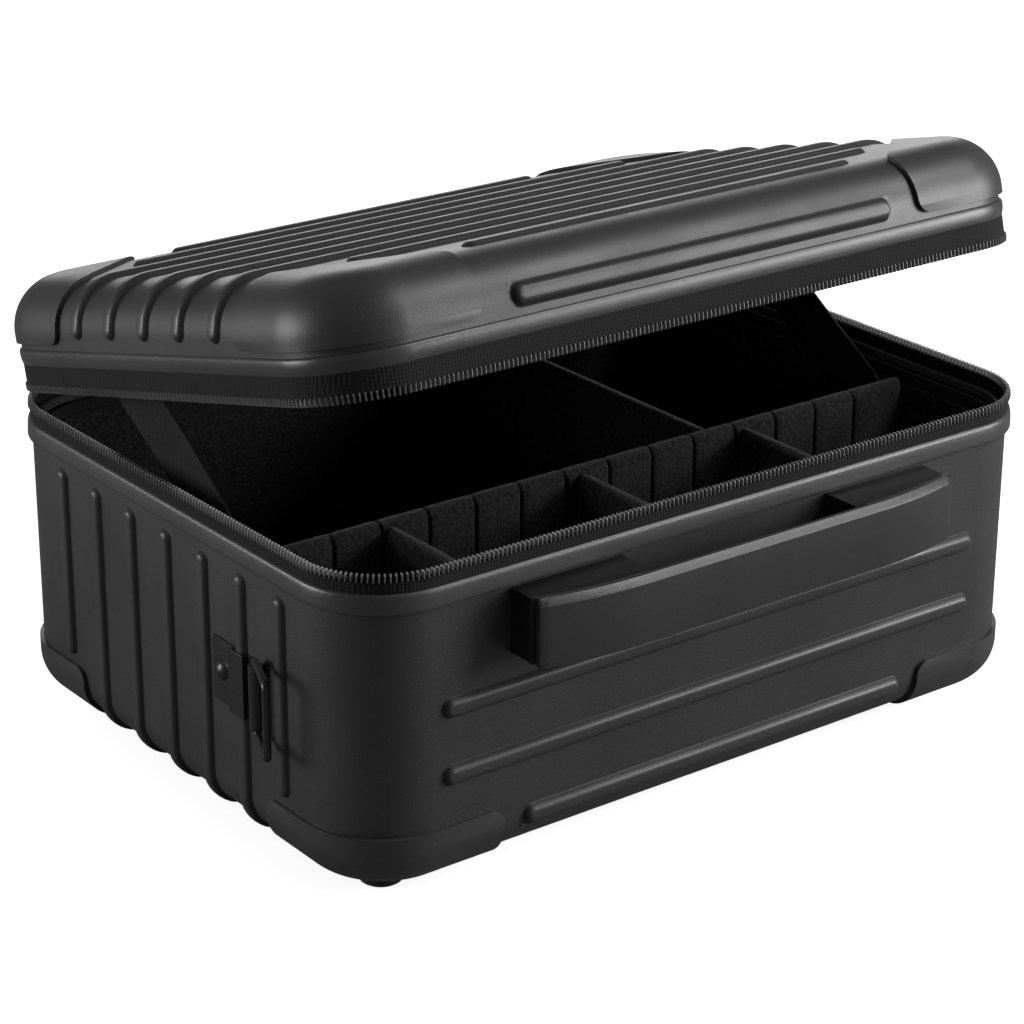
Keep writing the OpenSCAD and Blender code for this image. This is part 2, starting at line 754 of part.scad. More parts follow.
module zip_pull(s) {
    arm_x = 1.5 + clear;
    arm_t = 1.4;
    tab_w = 8;
    tab_t = 1.4;
    color("#9a9a9c") at_slider(s) translate([0, pin_y, pin_z]) {
        rotate([0, 90, 0]) cylinder(r = pin_r, h = 2 * (arm_x + arm_t), center = true);
        for (sx = [-1, 1]) translate([sx * (arm_x + arm_t / 2), 0, -2.6])
            cube([arm_t, tab_t, 7], center = true);
        difference() {
            translate([-tab_w / 2, -tab_t / 2, -pull_l + tab_w / 2]) cube([tab_w, tab_t, pull_l - tab_w / 2 - 3]);
            translate([0, 0, -pull_l + tab_w]) rotate([90, 0, 0]) cylinder(r = 1.8, h = 5, center = true);
        }
        translate([0, 0, -pull_l + tab_w / 2]) rotate([90, 0, 0])
            cylinder(r = tab_w / 2, h = tab_t, center = true);
    }
}

// ---- parts ----

body_shell();
body_rim_band();
body_guard(-1, -1);  // body_guard_fl
body_guard(1, -1);  // body_guard_fr
body_guard(-1, 1);  // body_guard_bl
body_guard(1, 1);  // body_guard_br
foot(-1, -1);  // foot_fl
foot(1, -1);  // foot_fr
foot(-1, 1);  // foot_bl
foot(1, 1);  // foot_br
foot_screws();
body_lining();
wall_pads();
floor_pad();
long_divider();
front_divider(0);  // front_divider_1
front_divider(1);  // front_divider_2
front_divider(2);  // front_divider_3
rear_divider();
body_zip_tape();
body_zip_chain();
zip_end_stops();
body_stay_tabs();
hinge_tape();
stay(-1);  // stay_left
stay(1);  // stay_right
ring_bracket(-1);  // ring_bracket_left
ring_bracket(1);  // ring_bracket_right
ring_rivets();
handle_block(-1);  // handle_block_left
handle_block(1);  // handle_block_right
handle_shim(-1);  // handle_shim_left
handle_shim(1);  // handle_shim_right
handle_screws();
handle_springs();
lid_shell();
lid_rim_band();
lid_guard(-1, -1);  // lid_guard_fl
lid_guard(1, -1);  // lid_guard_fr
lid_guard(-1, 1);  // lid_guard_bl
lid_guard(1, 1);  // lid_guard_br
lid_zip_tape();
lid_zip_chain();
lid_lining();
lid_stay_tabs();
handle_grip();
handle_posts();
strap_ring(-1);  // strap_ring_left
strap_ring(1);  // strap_ring_right
zip_slider(-1);  // zip_slider_left
zip_slider(1);  // zip_slider_right
zip_pull(-1);  // zip_pull_left
zip_pull(1);  // zip_pull_right
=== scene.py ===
import json
import math

import bmesh
import bpy
import numpy as np
from mathutils import Matrix, Vector

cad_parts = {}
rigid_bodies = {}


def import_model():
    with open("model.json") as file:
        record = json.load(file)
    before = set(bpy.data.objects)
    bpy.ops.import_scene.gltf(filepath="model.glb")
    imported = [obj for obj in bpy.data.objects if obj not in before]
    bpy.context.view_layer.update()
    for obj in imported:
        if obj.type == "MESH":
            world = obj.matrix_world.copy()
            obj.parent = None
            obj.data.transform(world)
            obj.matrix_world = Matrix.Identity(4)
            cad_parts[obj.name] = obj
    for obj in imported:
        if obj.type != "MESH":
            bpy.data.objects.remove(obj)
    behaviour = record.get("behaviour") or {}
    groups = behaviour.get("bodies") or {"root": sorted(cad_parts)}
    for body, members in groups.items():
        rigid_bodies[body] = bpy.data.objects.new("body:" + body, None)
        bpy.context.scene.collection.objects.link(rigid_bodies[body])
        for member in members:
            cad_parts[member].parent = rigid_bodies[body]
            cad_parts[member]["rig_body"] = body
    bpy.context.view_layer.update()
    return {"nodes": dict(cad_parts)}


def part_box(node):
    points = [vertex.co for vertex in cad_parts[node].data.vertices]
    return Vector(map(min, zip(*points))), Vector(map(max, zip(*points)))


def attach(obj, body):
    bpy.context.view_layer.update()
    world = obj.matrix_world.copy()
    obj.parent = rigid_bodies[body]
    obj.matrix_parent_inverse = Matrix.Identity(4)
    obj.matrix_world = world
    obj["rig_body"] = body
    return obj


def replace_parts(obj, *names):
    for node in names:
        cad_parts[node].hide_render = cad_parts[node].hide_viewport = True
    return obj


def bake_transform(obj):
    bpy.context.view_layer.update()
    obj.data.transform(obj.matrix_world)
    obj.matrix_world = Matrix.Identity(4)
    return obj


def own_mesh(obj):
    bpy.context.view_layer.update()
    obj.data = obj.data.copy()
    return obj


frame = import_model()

scene = bpy.context.scene

# ---- Camera ----
# A long lens a little over a metre away, looking down on the front left corner of the case.
# It is placed from the upper edge of the body's rim band.
band_low, band_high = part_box("body_rim_band")
rim_z = band_high.z
case_y = (band_low.y + band_high.y) / 2
camera_data = bpy.data.cameras.new("camera")
camera_data.sensor_width = 36.0
camera_data.lens = 106.69
camera_data.clip_start = 0.01
camera = bpy.data.objects.new("camera", camera_data)
scene.collection.objects.link(camera)
scene.camera = camera
camera_far = 1.25778
turn, rise, lean = math.radians(-37.24), math.radians(22.24), math.radians(0.24)
back = Vector((math.sin(turn) * math.cos(rise), -math.cos(turn) * math.cos(rise), math.sin(rise)))
right = (-back).cross(Vector((0, 0, 1))).normalized()
up = right.cross(-back)
aim = Vector((-0.00479, case_y, rim_z - 0.04563))
across = right * math.cos(lean) + up * math.sin(lean)
upward = up * math.cos(lean) - right * math.sin(lean)
camera.matrix_world = Matrix.Translation(aim + back * camera_far) @ Matrix(
    (
        (across.x, upward.x, back.x, 0),
        (across.y, upward.y, back.y, 0),
        (across.z, upward.z, back.z, 0),
        (0, 0, 0, 1),
    )
)


# ---- Studio ----
# A white sweep and four soft boxes: two wide ones at the sides, so that the upright corner
# between them stays dark, a weaker one overhead, and one far behind that skims the lid.
def feed(tree, node, given):
    """Sets a node's inputs, by name or number: a value is set, and another node's socket is linked."""
    for key, value in given.items():
        if isinstance(value, bpy.types.NodeSocket):
            tree.links.new(value, node.inputs[key])
        else:
            node.inputs[key].default_value = value


def add_node(tree, kind, given=None, **modes):
    node = tree.nodes.new(kind)
    for mode, choice in modes.items():
        setattr(node, mode, choice)
    feed(tree, node, given or {})
    return node


def seen_apart(tree, lit, shown):
    """One shader for what the light meets, and another for what the camera sees."""
    ray = add_node(tree, "ShaderNodeLightPath")
    both = {0: ray.outputs["Is Camera Ray"], 1: lit.outputs[0], 2: shown.outputs[0]}
    return add_node(tree, "ShaderNodeMixShader", both).outputs[0]


world = bpy.data.worlds.new("studio")
scene.world = world
world.use_nodes = True
sky = world.node_tree
sky.nodes.clear()
sky_lit = add_node(sky, "ShaderNodeBackground", {"Color": (1, 1, 1, 1), "Strength": 0.15})
sky_shown = add_node(sky, "ShaderNodeBackground", {"Color": (1, 1, 1, 1), "Strength": 1.0})
add_node(sky, "ShaderNodeOutputWorld", {"Surface": seen_apart(sky, sky_lit, sky_shown)})
scene.view_settings.view_transform = "Standard"


def soft_box(name, place, width, height, power):
    light = bpy.data.lights.new(name, "AREA")
    light.shape = "RECTANGLE"
    light.size = width
    light.size_y = height
    light.energy = power
    lamp = bpy.data.objects.new(name, light)
    lamp.location = place
    lamp.rotation_euler = (aim - Vector(place)).to_track_quat("-Z", "Y").to_euler()
    scene.collection.objects.link(lamp)


soft_box("soft_box_left", (-1.5, 0.85, 0.4), 0.9, 0.7, 19)
soft_box("soft_box_right", (1.3, -1.15, 0.5), 0.8, 0.8, 27.5)
soft_box("soft_box_top", (0.75, -0.6, 1.15), 0.5, 0.5, 8)
soft_box("soft_box_back", (1.35, 2.05, 0.6), 1.7, 0.8, 13)


# ---- Floor ----
# Seamless white card under the case. It throws less light back at the case than it shows the
# camera, as a card on a lit table does.
def new_finish(name):
    finish = bpy.data.materials.new(name)
    finish.use_nodes = True
    return finish, finish.node_tree, finish.node_tree.nodes["Principled BSDF"]


def spread(tree, value, to_low, to_high, from_low=0.0, from_high=1.0):
    reach = {"Value": value, "From Min": from_low, "From Max": from_high, "To Min": to_low, "To Max": to_high}
    return add_node(tree, "ShaderNodeMapRange", reach).outputs["Result"]


card, card_tree, card_shade = new_finish("white_card")
card_cloud = add_node(card_tree, "ShaderNodeTexNoise", {"Scale": 3.0})
feed(card_tree, card_shade, {
    "Roughness": spread(card_tree, card_cloud.outputs["Fac"], 0.55, 0.62),
    "Base Color": (0.93, 0.93, 0.93, 1), "Emission Color": (1, 1, 1, 1), "Emission Strength": 0.78,
})
card_dim = add_node(card_tree, "ShaderNodeBsdfDiffuse", {"Color": (0.22, 0.22, 0.22, 1)})
feed(card_tree, card_tree.nodes["Material Output"], {"Surface": seen_apart(card_tree, card_dim, card_shade)})
floor_mesh = bpy.data.meshes.new("floor")
floor_mesh.from_pydata([(-6, -6, 0), (6, -6, 0), (6, 6, 0), (-6, 6, 0)], [], [(0, 1, 2, 3)])
floor_mesh.materials.append(card)
floor = bpy.data.objects.new("floor", floor_mesh)
scene.collection.objects.link(floor)


# ---- Body shell ----
# The lower half of the case, one tray of black ABS 3 mm thick, drawn from sheet, with a
# fine pebbled skin outside. Its upper edge goes up into the rim band.
def noise(tree, where, scale, detail, **more):
    grain = {"Vector": where, "Scale": scale, "Detail": detail}
    return add_node(tree, "ShaderNodeTexNoise", {**grain, **more}).outputs["Fac"]


def mixed(tree, share, first, second):
    """A colour between two, each of them a value or a socket."""
    pair = {"Factor": share, "A": first, "B": second}
    return add_node(tree, "ShaderNodeMix", pair, data_type="RGBA").outputs["Result"]


def bumped(tree, height, strength, depth):
    raised = {"Height": height, "Strength": strength, "Distance": depth}
    return add_node(tree, "ShaderNodeBump", raised).outputs["Normal"]


def sums(tree, first, *others):
    for other in others:
        first = add_node(tree, "ShaderNodeMath", {0: first, 1: other}, operation="ADD").outputs[0]
    return first


def place_on(tree):
    return add_node(tree, "ShaderNodeTexCoord").outputs["Object"]


def moulded_plastic(name, tone, gloss, pebble, wear=1.0, depth=0.00012):
    """Pebbled, with small scuffs and clouded gloss; painted shade makes the flanks of ribs darker, and they are also
    duller.
    """
    finish, tree, shade = new_finish(name)
    where = place_on(tree)
    cell = {"Vector": where, "Scale": pebble, "Smoothness": 0.6}
    cells = add_node(tree, "ShaderNodeTexVoronoi", cell, feature="SMOOTH_F1").outputs["Distance"]
    heights = sums(tree, cells, noise(tree, where, pebble * 1.7, 3.0))
    rough = spread(tree, noise(tree, where, 28.0, 6.0), gloss - 0.05, gloss + 0.06, 0.3, 0.7)
    specks = spread(tree, noise(tree, where, 420.0, 2.0), 0.0, 0.35 * wear, 0.62, 0.8)
    scuffed = mixed(tree, specks, (*tone, 1), (*[c * 2.2 + 0.01 for c in tone], 1))
    # Painted shade: this attribute takes the base colour down to 0.3 of the tone on the flanks of ribs.
    flank = add_node(tree, "ShaderNodeAttribute", attribute_name="flank").outputs["Fac"]
    dulled = add_node(tree, "ShaderNodeMath", {0: flank, 1: 0.3, 2: rough}, operation="MULTIPLY_ADD").outputs[0]
    feed(tree, shade, {
        "Base Color": mixed(tree, flank, scuffed, (*[c * 0.3 for c in tone], 1)),
        "Roughness": dulled,
        "Normal": bumped(tree, heights, 0.35, depth),
    })
    return finish


def as_piece(name, mesh, crease):
    """The mesh as an object, smooth but for edges sharper than the crease angle."""
    mesh.polygons.foreach_set("use_smooth", [True] * len(mesh.polygons))
    mesh.set_sharp_from_angle(angle=math.radians(crease))
    piece = bpy.data.objects.new(name, mesh)
    scene.collection.objects.link(piece)
    return piece


def merged(mesh, gap, outward=False):
    work = bmesh.new()
    work.from_mesh(mesh)
    bmesh.ops.remove_doubles(work, verts=work.verts, dist=gap)
    if outward:
        bmesh.ops.recalc_face_normals(work, faces=work.faces)
    work.to_mesh(mesh)
    work.free()


def made(name, points, faces, finish, crease=32.0):
    mesh = bpy.data.meshes.new(name)
    mesh.from_pydata([tuple(p) for p in points], [], faces)
    merged(mesh, 2e-6, outward=True)
    mesh.materials.append(finish)
    return as_piece(name, mesh, crease)


def fitted(piece, body, node):
    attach(piece, body)
    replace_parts(piece, node)


# Painted shade: stores, point by point, how far the finish darkens the flanks of ribs.
def paint_flank_shade(mesh, shares):
    mesh.attributes.new("flank", "FLOAT", "POINT").data.foreach_set("value", shares.astype(np.float32))


def joined(name, pieces):
    """One mesh from several, with the painted shade on the flanks of their ribs kept."""
    points, faces, flank_shades = [], [], []
    for piece in pieces:
        first = sum(len(p) for p in points)
        co = np.zeros(len(piece.data.vertices) * 3)
        piece.data.vertices.foreach_get("co", co)
        points.append(co.reshape(-1, 3))
        faces += [tuple(first + v for v in face.vertices) for face in piece.data.polygons]
        shade_share = np.zeros(len(piece.data.vertices))
        if "flank" in piece.data.attributes:
            piece.data.attributes["flank"].data.foreach_get("value", shade_share)
        flank_shades.append(shade_share)
    mesh = bpy.data.meshes.new(name)
    mesh.from_pydata(np.concatenate(points).tolist(), [], faces)
    paint_flank_shade(mesh, np.concatenate(flank_shades))
    mesh.materials.append(pieces[0].data.materials[0])
    for piece in pieces:
        bpy.data.objects.remove(piece)
    return as_piece(name, mesh, 32)


case_l, case_w, corner_r = 0.340, 0.256, 0.0333
half_l, half_w = case_l / 2, case_w / 2


def case_outline(front, side, arc, back_gap=None):
    """Points round the case and the way out from each, as rows of x, y, out x, out y."""
    rows = []
    fx = np.linspace(-1, 1, front) * (half_l - corner_r)
    sy = np.linspace(-1, 1, side) * (half_w - corner_r)

    def corner(cx, cy, start):
        for a in np.radians(np.linspace(start, start + 90, arc + 1))[1:-1]:
            rows.append((cx + corner_r * math.cos(a), cy + corner_r * math.sin(a), math.cos(a), math.sin(a)))

    gx, gy = half_l - corner_r, half_w - corner_r
    if back_gap is not None:
        for x in np.linspace(-back_gap, -gx, 8):
            rows.append((x, half_w, 0, 1))
        corner(-gx, gy, 90)
    for y in sy[::-1]:
        rows.append((-half_l, y, -1, 0))
    corner(-gx, -gy, 180)
    for x in fx:
        rows.append((x, -half_w, 0, -1))
    corner(gx, -gy, 270)
    for y in sy:
        rows.append((half_l, y, 1, 0))
    corner(gx, gy, 0)
    if back_gap is not None:
        for x in np.linspace(gx, back_gap, 8):
            rows.append((x, half_w, 0, 1))
    else:
        for x in fx[::-1]:
            rows.append((x, half_w, 0, 1))
        corner(-gx, gy, 90)
    return np.array(rows)


def run_round(name, outline, section, finish, loop=True, closed=True, crease=32.0):
    """Carries a section, rows of (out, z), round the outline."""
    sec = np.array(section)
    n, m = len(outline), len(sec)
    pts = np.zeros((m, n, 3))
    pts[:, :, 0] = outline[None, :, 0] + sec[:, None, 0] * outline[None, :, 2]
    pts[:, :, 1] = outline[None, :, 1] + sec[:, None, 0] * outline[None, :, 3] + case_y
    pts[:, :, 2] = sec[:, None, 1]
    faces = []
    for i in range(m if closed else m - 1):
        for j in range(n if loop else n - 1):
            a, b = i * n + j, i * n + (j + 1) % n
            c, d = ((i + 1) % m) * n + (j + 1) % n, ((i + 1) % m) * n + j
            faces.append((a, b, c, d))
    if not closed:
        faces.append(tuple(range(n)))
        faces.append(tuple(range((m - 1) * n, m * n))[::-1])
    if not loop:
        faces.append(tuple(i * n for i in range(m)))
        faces.append(tuple(i * n + n - 1 for i in range(m))[::-1])
    return made(name, pts.reshape(-1, 3), faces, finish, crease)


def bend(cx, cz, r, start, end, n):
    """Points along an arc, for a section."""
    return [(cx + r * math.cos(a), cz + r * math.sin(a)) for a in np.radians(np.linspace(start, end, n))]


wall = 0.003
edge = 0.016
floor_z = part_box("foot_fl")[1].z + 0.0018
shell_plastic = moulded_plastic("shell_plastic", (0.031, 0.031, 0.0316), 0.42, 1500)
hidden_top = rim_z - 0.003
tray_section = (
    [(-edge - wall, floor_z + wall)]
    + bend(-edge, floor_z + edge, edge - wall, -90, 0, 10)
    + [(-wall, hidden_top), (0, hidden_top), (0, floor_z + edge)]
    + bend(-edge, floor_z + edge, edge, 0, -90, 14)
)
full_outline = case_outline(30, 22, 20)
body_skin = run_round("body_skin", full_outline, tray_section, shell_plastic, closed=False)


# ---- Ribs of the body ----
# Drawn up with the shell in one piece: five ribs that wrap down both ends and under the base,
# a short one at each side of them, and three long ones on the front and on the back.
def rib_form(name, place, length, width, height, finish, middle=()):
    """A round-ended rib, `length` long between its tips. `place` turns a distance along it
    into a point on the shell and the way out of the shell there."""
    flare = 0.0010
    half = width / 2
    ends = np.concatenate((np.linspace(-flare, half * 0.6, 9), [half * 0.8, half]))
    s = np.concatenate((ends, np.array(sorted(middle)), (length - ends)[::-1]))
    s = s[np.concatenate(([True], np.diff(s) > 1e-6))]
    t = np.linspace(-half - flare, half + flare, 21)
    top = np.zeros((len(s), len(t), 3))
    low = np.zeros_like(top)
    shade_share = np.zeros((len(s), len(t)))
    for i, along in enumerate(s):
        point, out, sideways = (np.array(v, float) for v in place(along))
        for j, off in enumerate(t):
            beyond = max(0.0, half - along, along - (length - half))
            d = min(1.0, math.hypot(beyond, off) / (half + flare))
            q = d ** 2.2
            h = -0.0003 + (height + 0.0003) * (0.5 + 0.5 * math.cos(math.pi * q))
            # Painted shade: a band on each flank, strongest 0.78 of the way out, which the finish darkens.
            shade_share[i, j] = max(0.0, 1 - abs(d - 0.78) / 0.2)
            top[i, j] = point + out * h + sideways * off
            low[i, j] = point - out * 0.0012 + sideways * off
    rib = slab(name, top, low, finish)
    # The painted shade goes on the top sheet only; the under sheet gets none.
    paint_flank_shade(rib.data, np.concatenate((shade_share.ravel(), shade_share.ravel() * 0)))
    return rib


def slab(name, top, low, finish, crease=32.0):
    """A closed sheet between two grids of points."""
    n, m = top.shape[:2]
    base = n * m
    faces = []
    for i in range(n - 1):
        for j in range(m - 1):
            a, b, c, d = i * m + j, (i + 1) * m + j, (i + 1) * m + j + 1, i * m + j + 1
            faces.append((a, b, c, d))
            faces.append((base + d, base + c, base + b, base + a))
    rim = [i * m for i in range(n)] + [(n - 1) * m + j for j in range(1, m)]
    rim += [i * m + m - 1 for i in range(n - 2, -1, -1)] + [j for j in range(m - 2, 0, -1)]
    for k in range(len(rim)):
        a, b = rim[k], rim[(k + 1) % len(rim)]
        faces.append((a, b, base + b, base + a))
    return made(name, np.concatenate((top.reshape(-1, 3), low.reshape(-1, 3))), faces, finish, crease)


def node_group(name, inputs):
    """A Geometry Nodes tree and its input node's sockets."""
    tree = bpy.data.node_groups.new(name, "GeometryNodeTree")
    tree.interface.new_socket("Geometry", in_out="INPUT", socket_type="NodeSocketGeometry")
    for label, kind in inputs.items():
        tree.interface.new_socket(label, in_out="INPUT", socket_type="NodeSocket" + kind)
    tree.interface.new_socket("Geometry", in_out="OUTPUT", socket_type="NodeSocketGeometry")
    return tree, tree.nodes.new("NodeGroupInput").outputs


def copy_pattern(tree, given, stands):
    """Copies of the pattern where `stands` says, made real and given their finish."""
    info = add_node(tree, "GeometryNodeObjectInfo", {"Object": given["Pattern"]})
    copies = add_node(tree, "GeometryNodeInstanceOnPoints", {"Instance": info.outputs["Geometry"], **stands})
    real = add_node(tree, "GeometryNodeRealizeInstances", {"Geometry": copies.outputs["Instances"]})
    painted = {"Geometry": real.outputs["Geometry"], "Material": given["Finish"]}
    paint = add_node(tree, "GeometryNodeSetMaterial", painted)
    add_node(tree, "NodeGroupOutput", {"Geometry": paint.outputs["Geometry"]})


def repeated(name, pattern, count, start, step, finish):
    """Geometry Nodes: `count` copies of one pattern in a row, made into one plain mesh."""
    inputs = {"Pattern": "Object", "Count": "Int", "Start": "Vector", "Step": "Vector", "Finish": "Material"}
    tree, given = node_group(name + "_row", inputs)
    row = {"Count": given["Count"], "Start Location": given["Start"], "Offset": given["Step"]}
    line = add_node(tree, "GeometryNodeMeshLine", row)
    copy_pattern(tree, given, {"Points": line.outputs["Mesh"]})
    return grown(name, tree, {"Pattern": pattern, "Count": count, "Start": start, "Step": step, "Finish": finish})


def wear_only(mesh, finish):
    mesh.materials.clear()
    mesh.materials.append(finish)
    mesh.polygons.foreach_set("material_index", [0] * len(mesh.polygons))


def grown(name, tree, settings):
    """Runs a Geometry Nodes tree on an empty mesh and keeps its result as a plain mesh."""
    seed = bpy.data.objects.new(name + "_seed", bpy.data.meshes.new(name + "_seed"))
    scene.collection.objects.link(seed)
    maker = seed.modifiers.new("make", "NODES")
    maker.node_group = tree
    for socket in tree.interface.items_tree:
        if socket.in_out == "INPUT" and socket.name in settings:
            maker[socket.identifier] = settings[socket.name]
    bpy.context.view_layer.update()
    seen = seed.evaluated_get(bpy.context.evaluated_depsgraph_get())
    mesh = bpy.data.meshes.new_from_object(seen)
    mesh.name = name
    wear_only(mesh, settings["Finish"])
    piece = as_piece(name, mesh, 32)
    for used in settings.values():
        if isinstance(used, bpy.types.Object):
            bpy.data.objects.remove(used)
    bpy.data.objects.remove(seed)
    return piece


rib_pitch = 0.02625
rib_top = rim_z - 0.0127


def wrapped_path(top_z, low_z, r, reach):
    """A path down one end, round the edge, across the flat and up the other end."""
    down = abs(top_z - low_z) - r
    turn_l = r * math.pi / 2
    flat = 2 * (reach - r)
    sign = 1 if low_z < top_z else -1

    def place(s):
        if s < down:
            return (-reach, 0, top_z - sign * s), (-1, 0, 0), (0, 1, 0)
        s -= down
        if s < turn_l:
            a = s / r
            out = (-math.cos(a), 0, -sign * math.sin(a))
            return (-reach + r + r * out[0], 0, low_z + sign * r + r * out[2]), out, (0, 1, 0)
        s -= turn_l
        if s < flat:
            return (-reach + r + s, 0, low_z), (0, 0, -sign), (0, 1, 0)
        s -= flat
        if s < turn_l:
            a = s / r
            out = (math.sin(a), 0, -sign * math.cos(a))
            return (reach - r + r * out[0], 0, low_z + sign * r + r * out[2]), out, (0, 1, 0)
        s -= turn_l
        return (reach, 0, low_z + sign * (r + s)), (1, 0, 0), (0, 1, 0)

    length = 2 * down + 2 * turn_l + flat
    middle = [down * f for f in (0.25, 0.5, 0.75, 1)]
    middle += [down + turn_l * k / 12 for k in range(1, 13)]
    middle += [length / 2]
    middle += [length - v for v in middle[:-1]]
    middle = [v for v in middle if 0.006 < v < length - 0.006]
    return place, length, middle


place, length, middle = wrapped_path(rib_top, floor_z, edge, half_l)
wrap = rib_form("wrap_rib", place, length, 0.0066, 0.0022, shell_plastic, middle)
body_wraps = repeated("body_wraps", wrap, 5, (0, case_y - 2 * rib_pitch, 0), (0, rib_pitch, 0), shell_plastic)

body_parts = [body_skin, body_wraps]
short_low = floor_z + 0.026
for sx in (-1, 1):
    upright = rib_form(
        "upright_rib", lambda s: ((sx * half_l, 0, rib_top - s), (sx, 0, 0), (0, 1, 0)),
        rib_top - short_low, 0.0066, 0.0022, shell_plastic,
    )
    first = (0, case_y - 3 * rib_pitch, 0)
    body_parts.append(repeated("uprights", upright, 2, first, (0, 6 * rib_pitch, 0), shell_plastic))


def long_rib(name, half, side, z, width=0.0076, height=0.0026):
    return rib_form(
        name, lambda s: ((-half + s, case_y + side * half_w, z), (0, side, 0), (0, 0, 1)),
        2 * half, width, height, shell_plastic,
    )


bar_z = rim_z - 0.0495
for side in (-1, 1):
    pair = long_rib("long_rib", 0.133, side, 0)
    body_parts.append(repeated("long_ribs", pair, 2, (0, 0, bar_z), (0, 0, -0.0272), shell_plastic))
    body_parts.append(long_rib("low_rib", 0.096, side, bar_z - 2 * 0.0272))
body_shell = joined("body_shell_skin", body_parts)
fitted(body_shell, "body", "body_shell")

# ---- Rim band of the body ----
# A smooth extruded band of the same plastic, bulging a little, that grips the shell's upper
# edge all round and carries the zip tape.
band_plastic = moulded_plastic("band_plastic", (0.043, 0.043, 0.044), 0.30, 2600, wear=0.6)
band_section = [
    (-0.0039, -0.0080), (-0.0039, -0.0004), (-0.0034, 0.0), (0.0004, 0.0), (0.0010, -0.0003), (0.0014, -0.0009),
    (0.0016, -0.0018), (0.0018, -0.0040), (0.0019, -0.0062), (0.00195, -0.0072), (0.0018, -0.0077), (0.0013, -0.0081),
    (0.0006, -0.0082), (-0.0002, -0.0082),
]
body_band = run_round("body_band", full_outline, [(o, rim_z + z) for o, z in band_section], band_plastic, crease=50)
fitted(body_band, "body", "body_rim_band")


# ---- Corner guards of the body ----
# Four caps of the same plastic, 1.8 mm thick, bonded over the lower corners, with softly
# rounded edges.
def eased(node, finish, round_over, crease=40.0):
    """The CAD solid as one clean mesh with its sharp edges rounded over."""
    source = frame["nodes"][node]
    mesh = source.data.copy()
    mesh.name = node + "_piece"
    merged(mesh, 5e-6)
    wear_only(mesh, finish)
    piece = as_piece(mesh.name, mesh, crease)
    if round_over > 0:
        bevel = piece.modifiers.new("ease", "BEVEL")
        bevel.width = round_over
        bevel.segments = 3
        bevel.limit_method = "ANGLE"
        bevel.angle_limit = math.radians(35)
        bevel.harden_normals = False
    fitted(piece, source["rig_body"], node)
    return piece


guard_plastic = moulded_plastic("guard_plastic", (0.034, 0.034, 0.0346), 0.40, 2300, depth=0.00012)
for corner in ("fl", "fr", "bl", "br"):
    eased("body_guard_" + corner, guard_plastic, 0.0009)


# ---- Feet ----
# Four moulded rubber discs under the body's corner guards. Each is held by a screw up through
# a recess in its middle.
def turned(name, centre, profile, finish, n=48, crease=40.0):
    """A shape turned about Z from rows of (radius, z); a radius of 0 closes it at the axis."""
    pts = []
    rings = []
    for r, z in profile:
        if r < 1e-7:
            rings.append([len(pts)])
            pts.append((centre[0], centre[1], centre[2] + z))
        else:
            first = len(pts)
            for k in range(n):
                a = 2 * math.pi * k / n
                pts.append((centre[0] + r * math.cos(a), centre[1] + r * math.sin(a), centre[2] + z))
            rings.append(list(range(first, first + n)))
    faces = []
    for low, high in zip(rings, rings[1:]):
        for k in range(n):
            if len(low) == 1:
                faces.append((low[0], high[(k + 1) % n], high[k]))
            elif len(high) == 1:
                faces.append((low[k], low[(k + 1) % n], high[0]))
            else:
                faces.append((low[k], low[(k + 1) % n], high[(k + 1) % n], high[k]))
    return made(name, pts, faces, finish, crease)


foot_rubber = moulded_plastic("foot_rubber", (0.012, 0.012, 0.012), 0.72, 1100, wear=1.6)
for corner in ("fl", "fr", "bl", "br"):
    low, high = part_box("foot_" + corner)
    mid = (low + high) / 2
    r, h = (high.x - low.x) / 2, high.z - low.z
    foot = turned(
        "foot_" + corner + "_pad", (mid.x, mid.y, low.z),
        [(0.0021, h), (0.0021, 0.003), (0.0042, 0.003), (0.0043, 0.0008), (0.0046, 0.0003), (0.0052, 0.0),
         (r - 0.0034, 0.0), (r - 0.0020, 0.0003), (r - 0.0009, 0.0010), (r - 0.0003, 0.0022), (r, 0.0036),
         (r, h - 0.0022), (r - 0.0004, h - 0.0018), (r - 0.0004, h - 0.0014), (r, h - 0.0010), (r, h), (0.0021, h)],
        foot_rubber,
    )
    fitted(foot, "body", "foot_" + corner)


# ---- Foot screws ----
# Four zinc plated steel screws that hold the feet. Their heads sit up in the recesses, clear
# of the ground.
def worn_metal(name, tone, gloss, grain):
    finish, tree, shade = new_finish(name)
    marks = noise(tree, place_on(tree), grain, 5.0)
    feed(tree, shade, {
        "Roughness": spread(tree, marks, gloss - 0.1, gloss + 0.14),
        "Base Color": mixed(tree, marks, (*[c * 0.7 for c in tone], 1), (*tone, 1)),
        "Normal": bumped(tree, marks, 0.2, 0.00005),
        "Metallic": 1.0,
    })
    return finish


zinc = worn_metal("zinc_plate", (0.46, 0.46, 0.47), 0.36, 900)
eased("foot_screws", zinc, 0.0004)


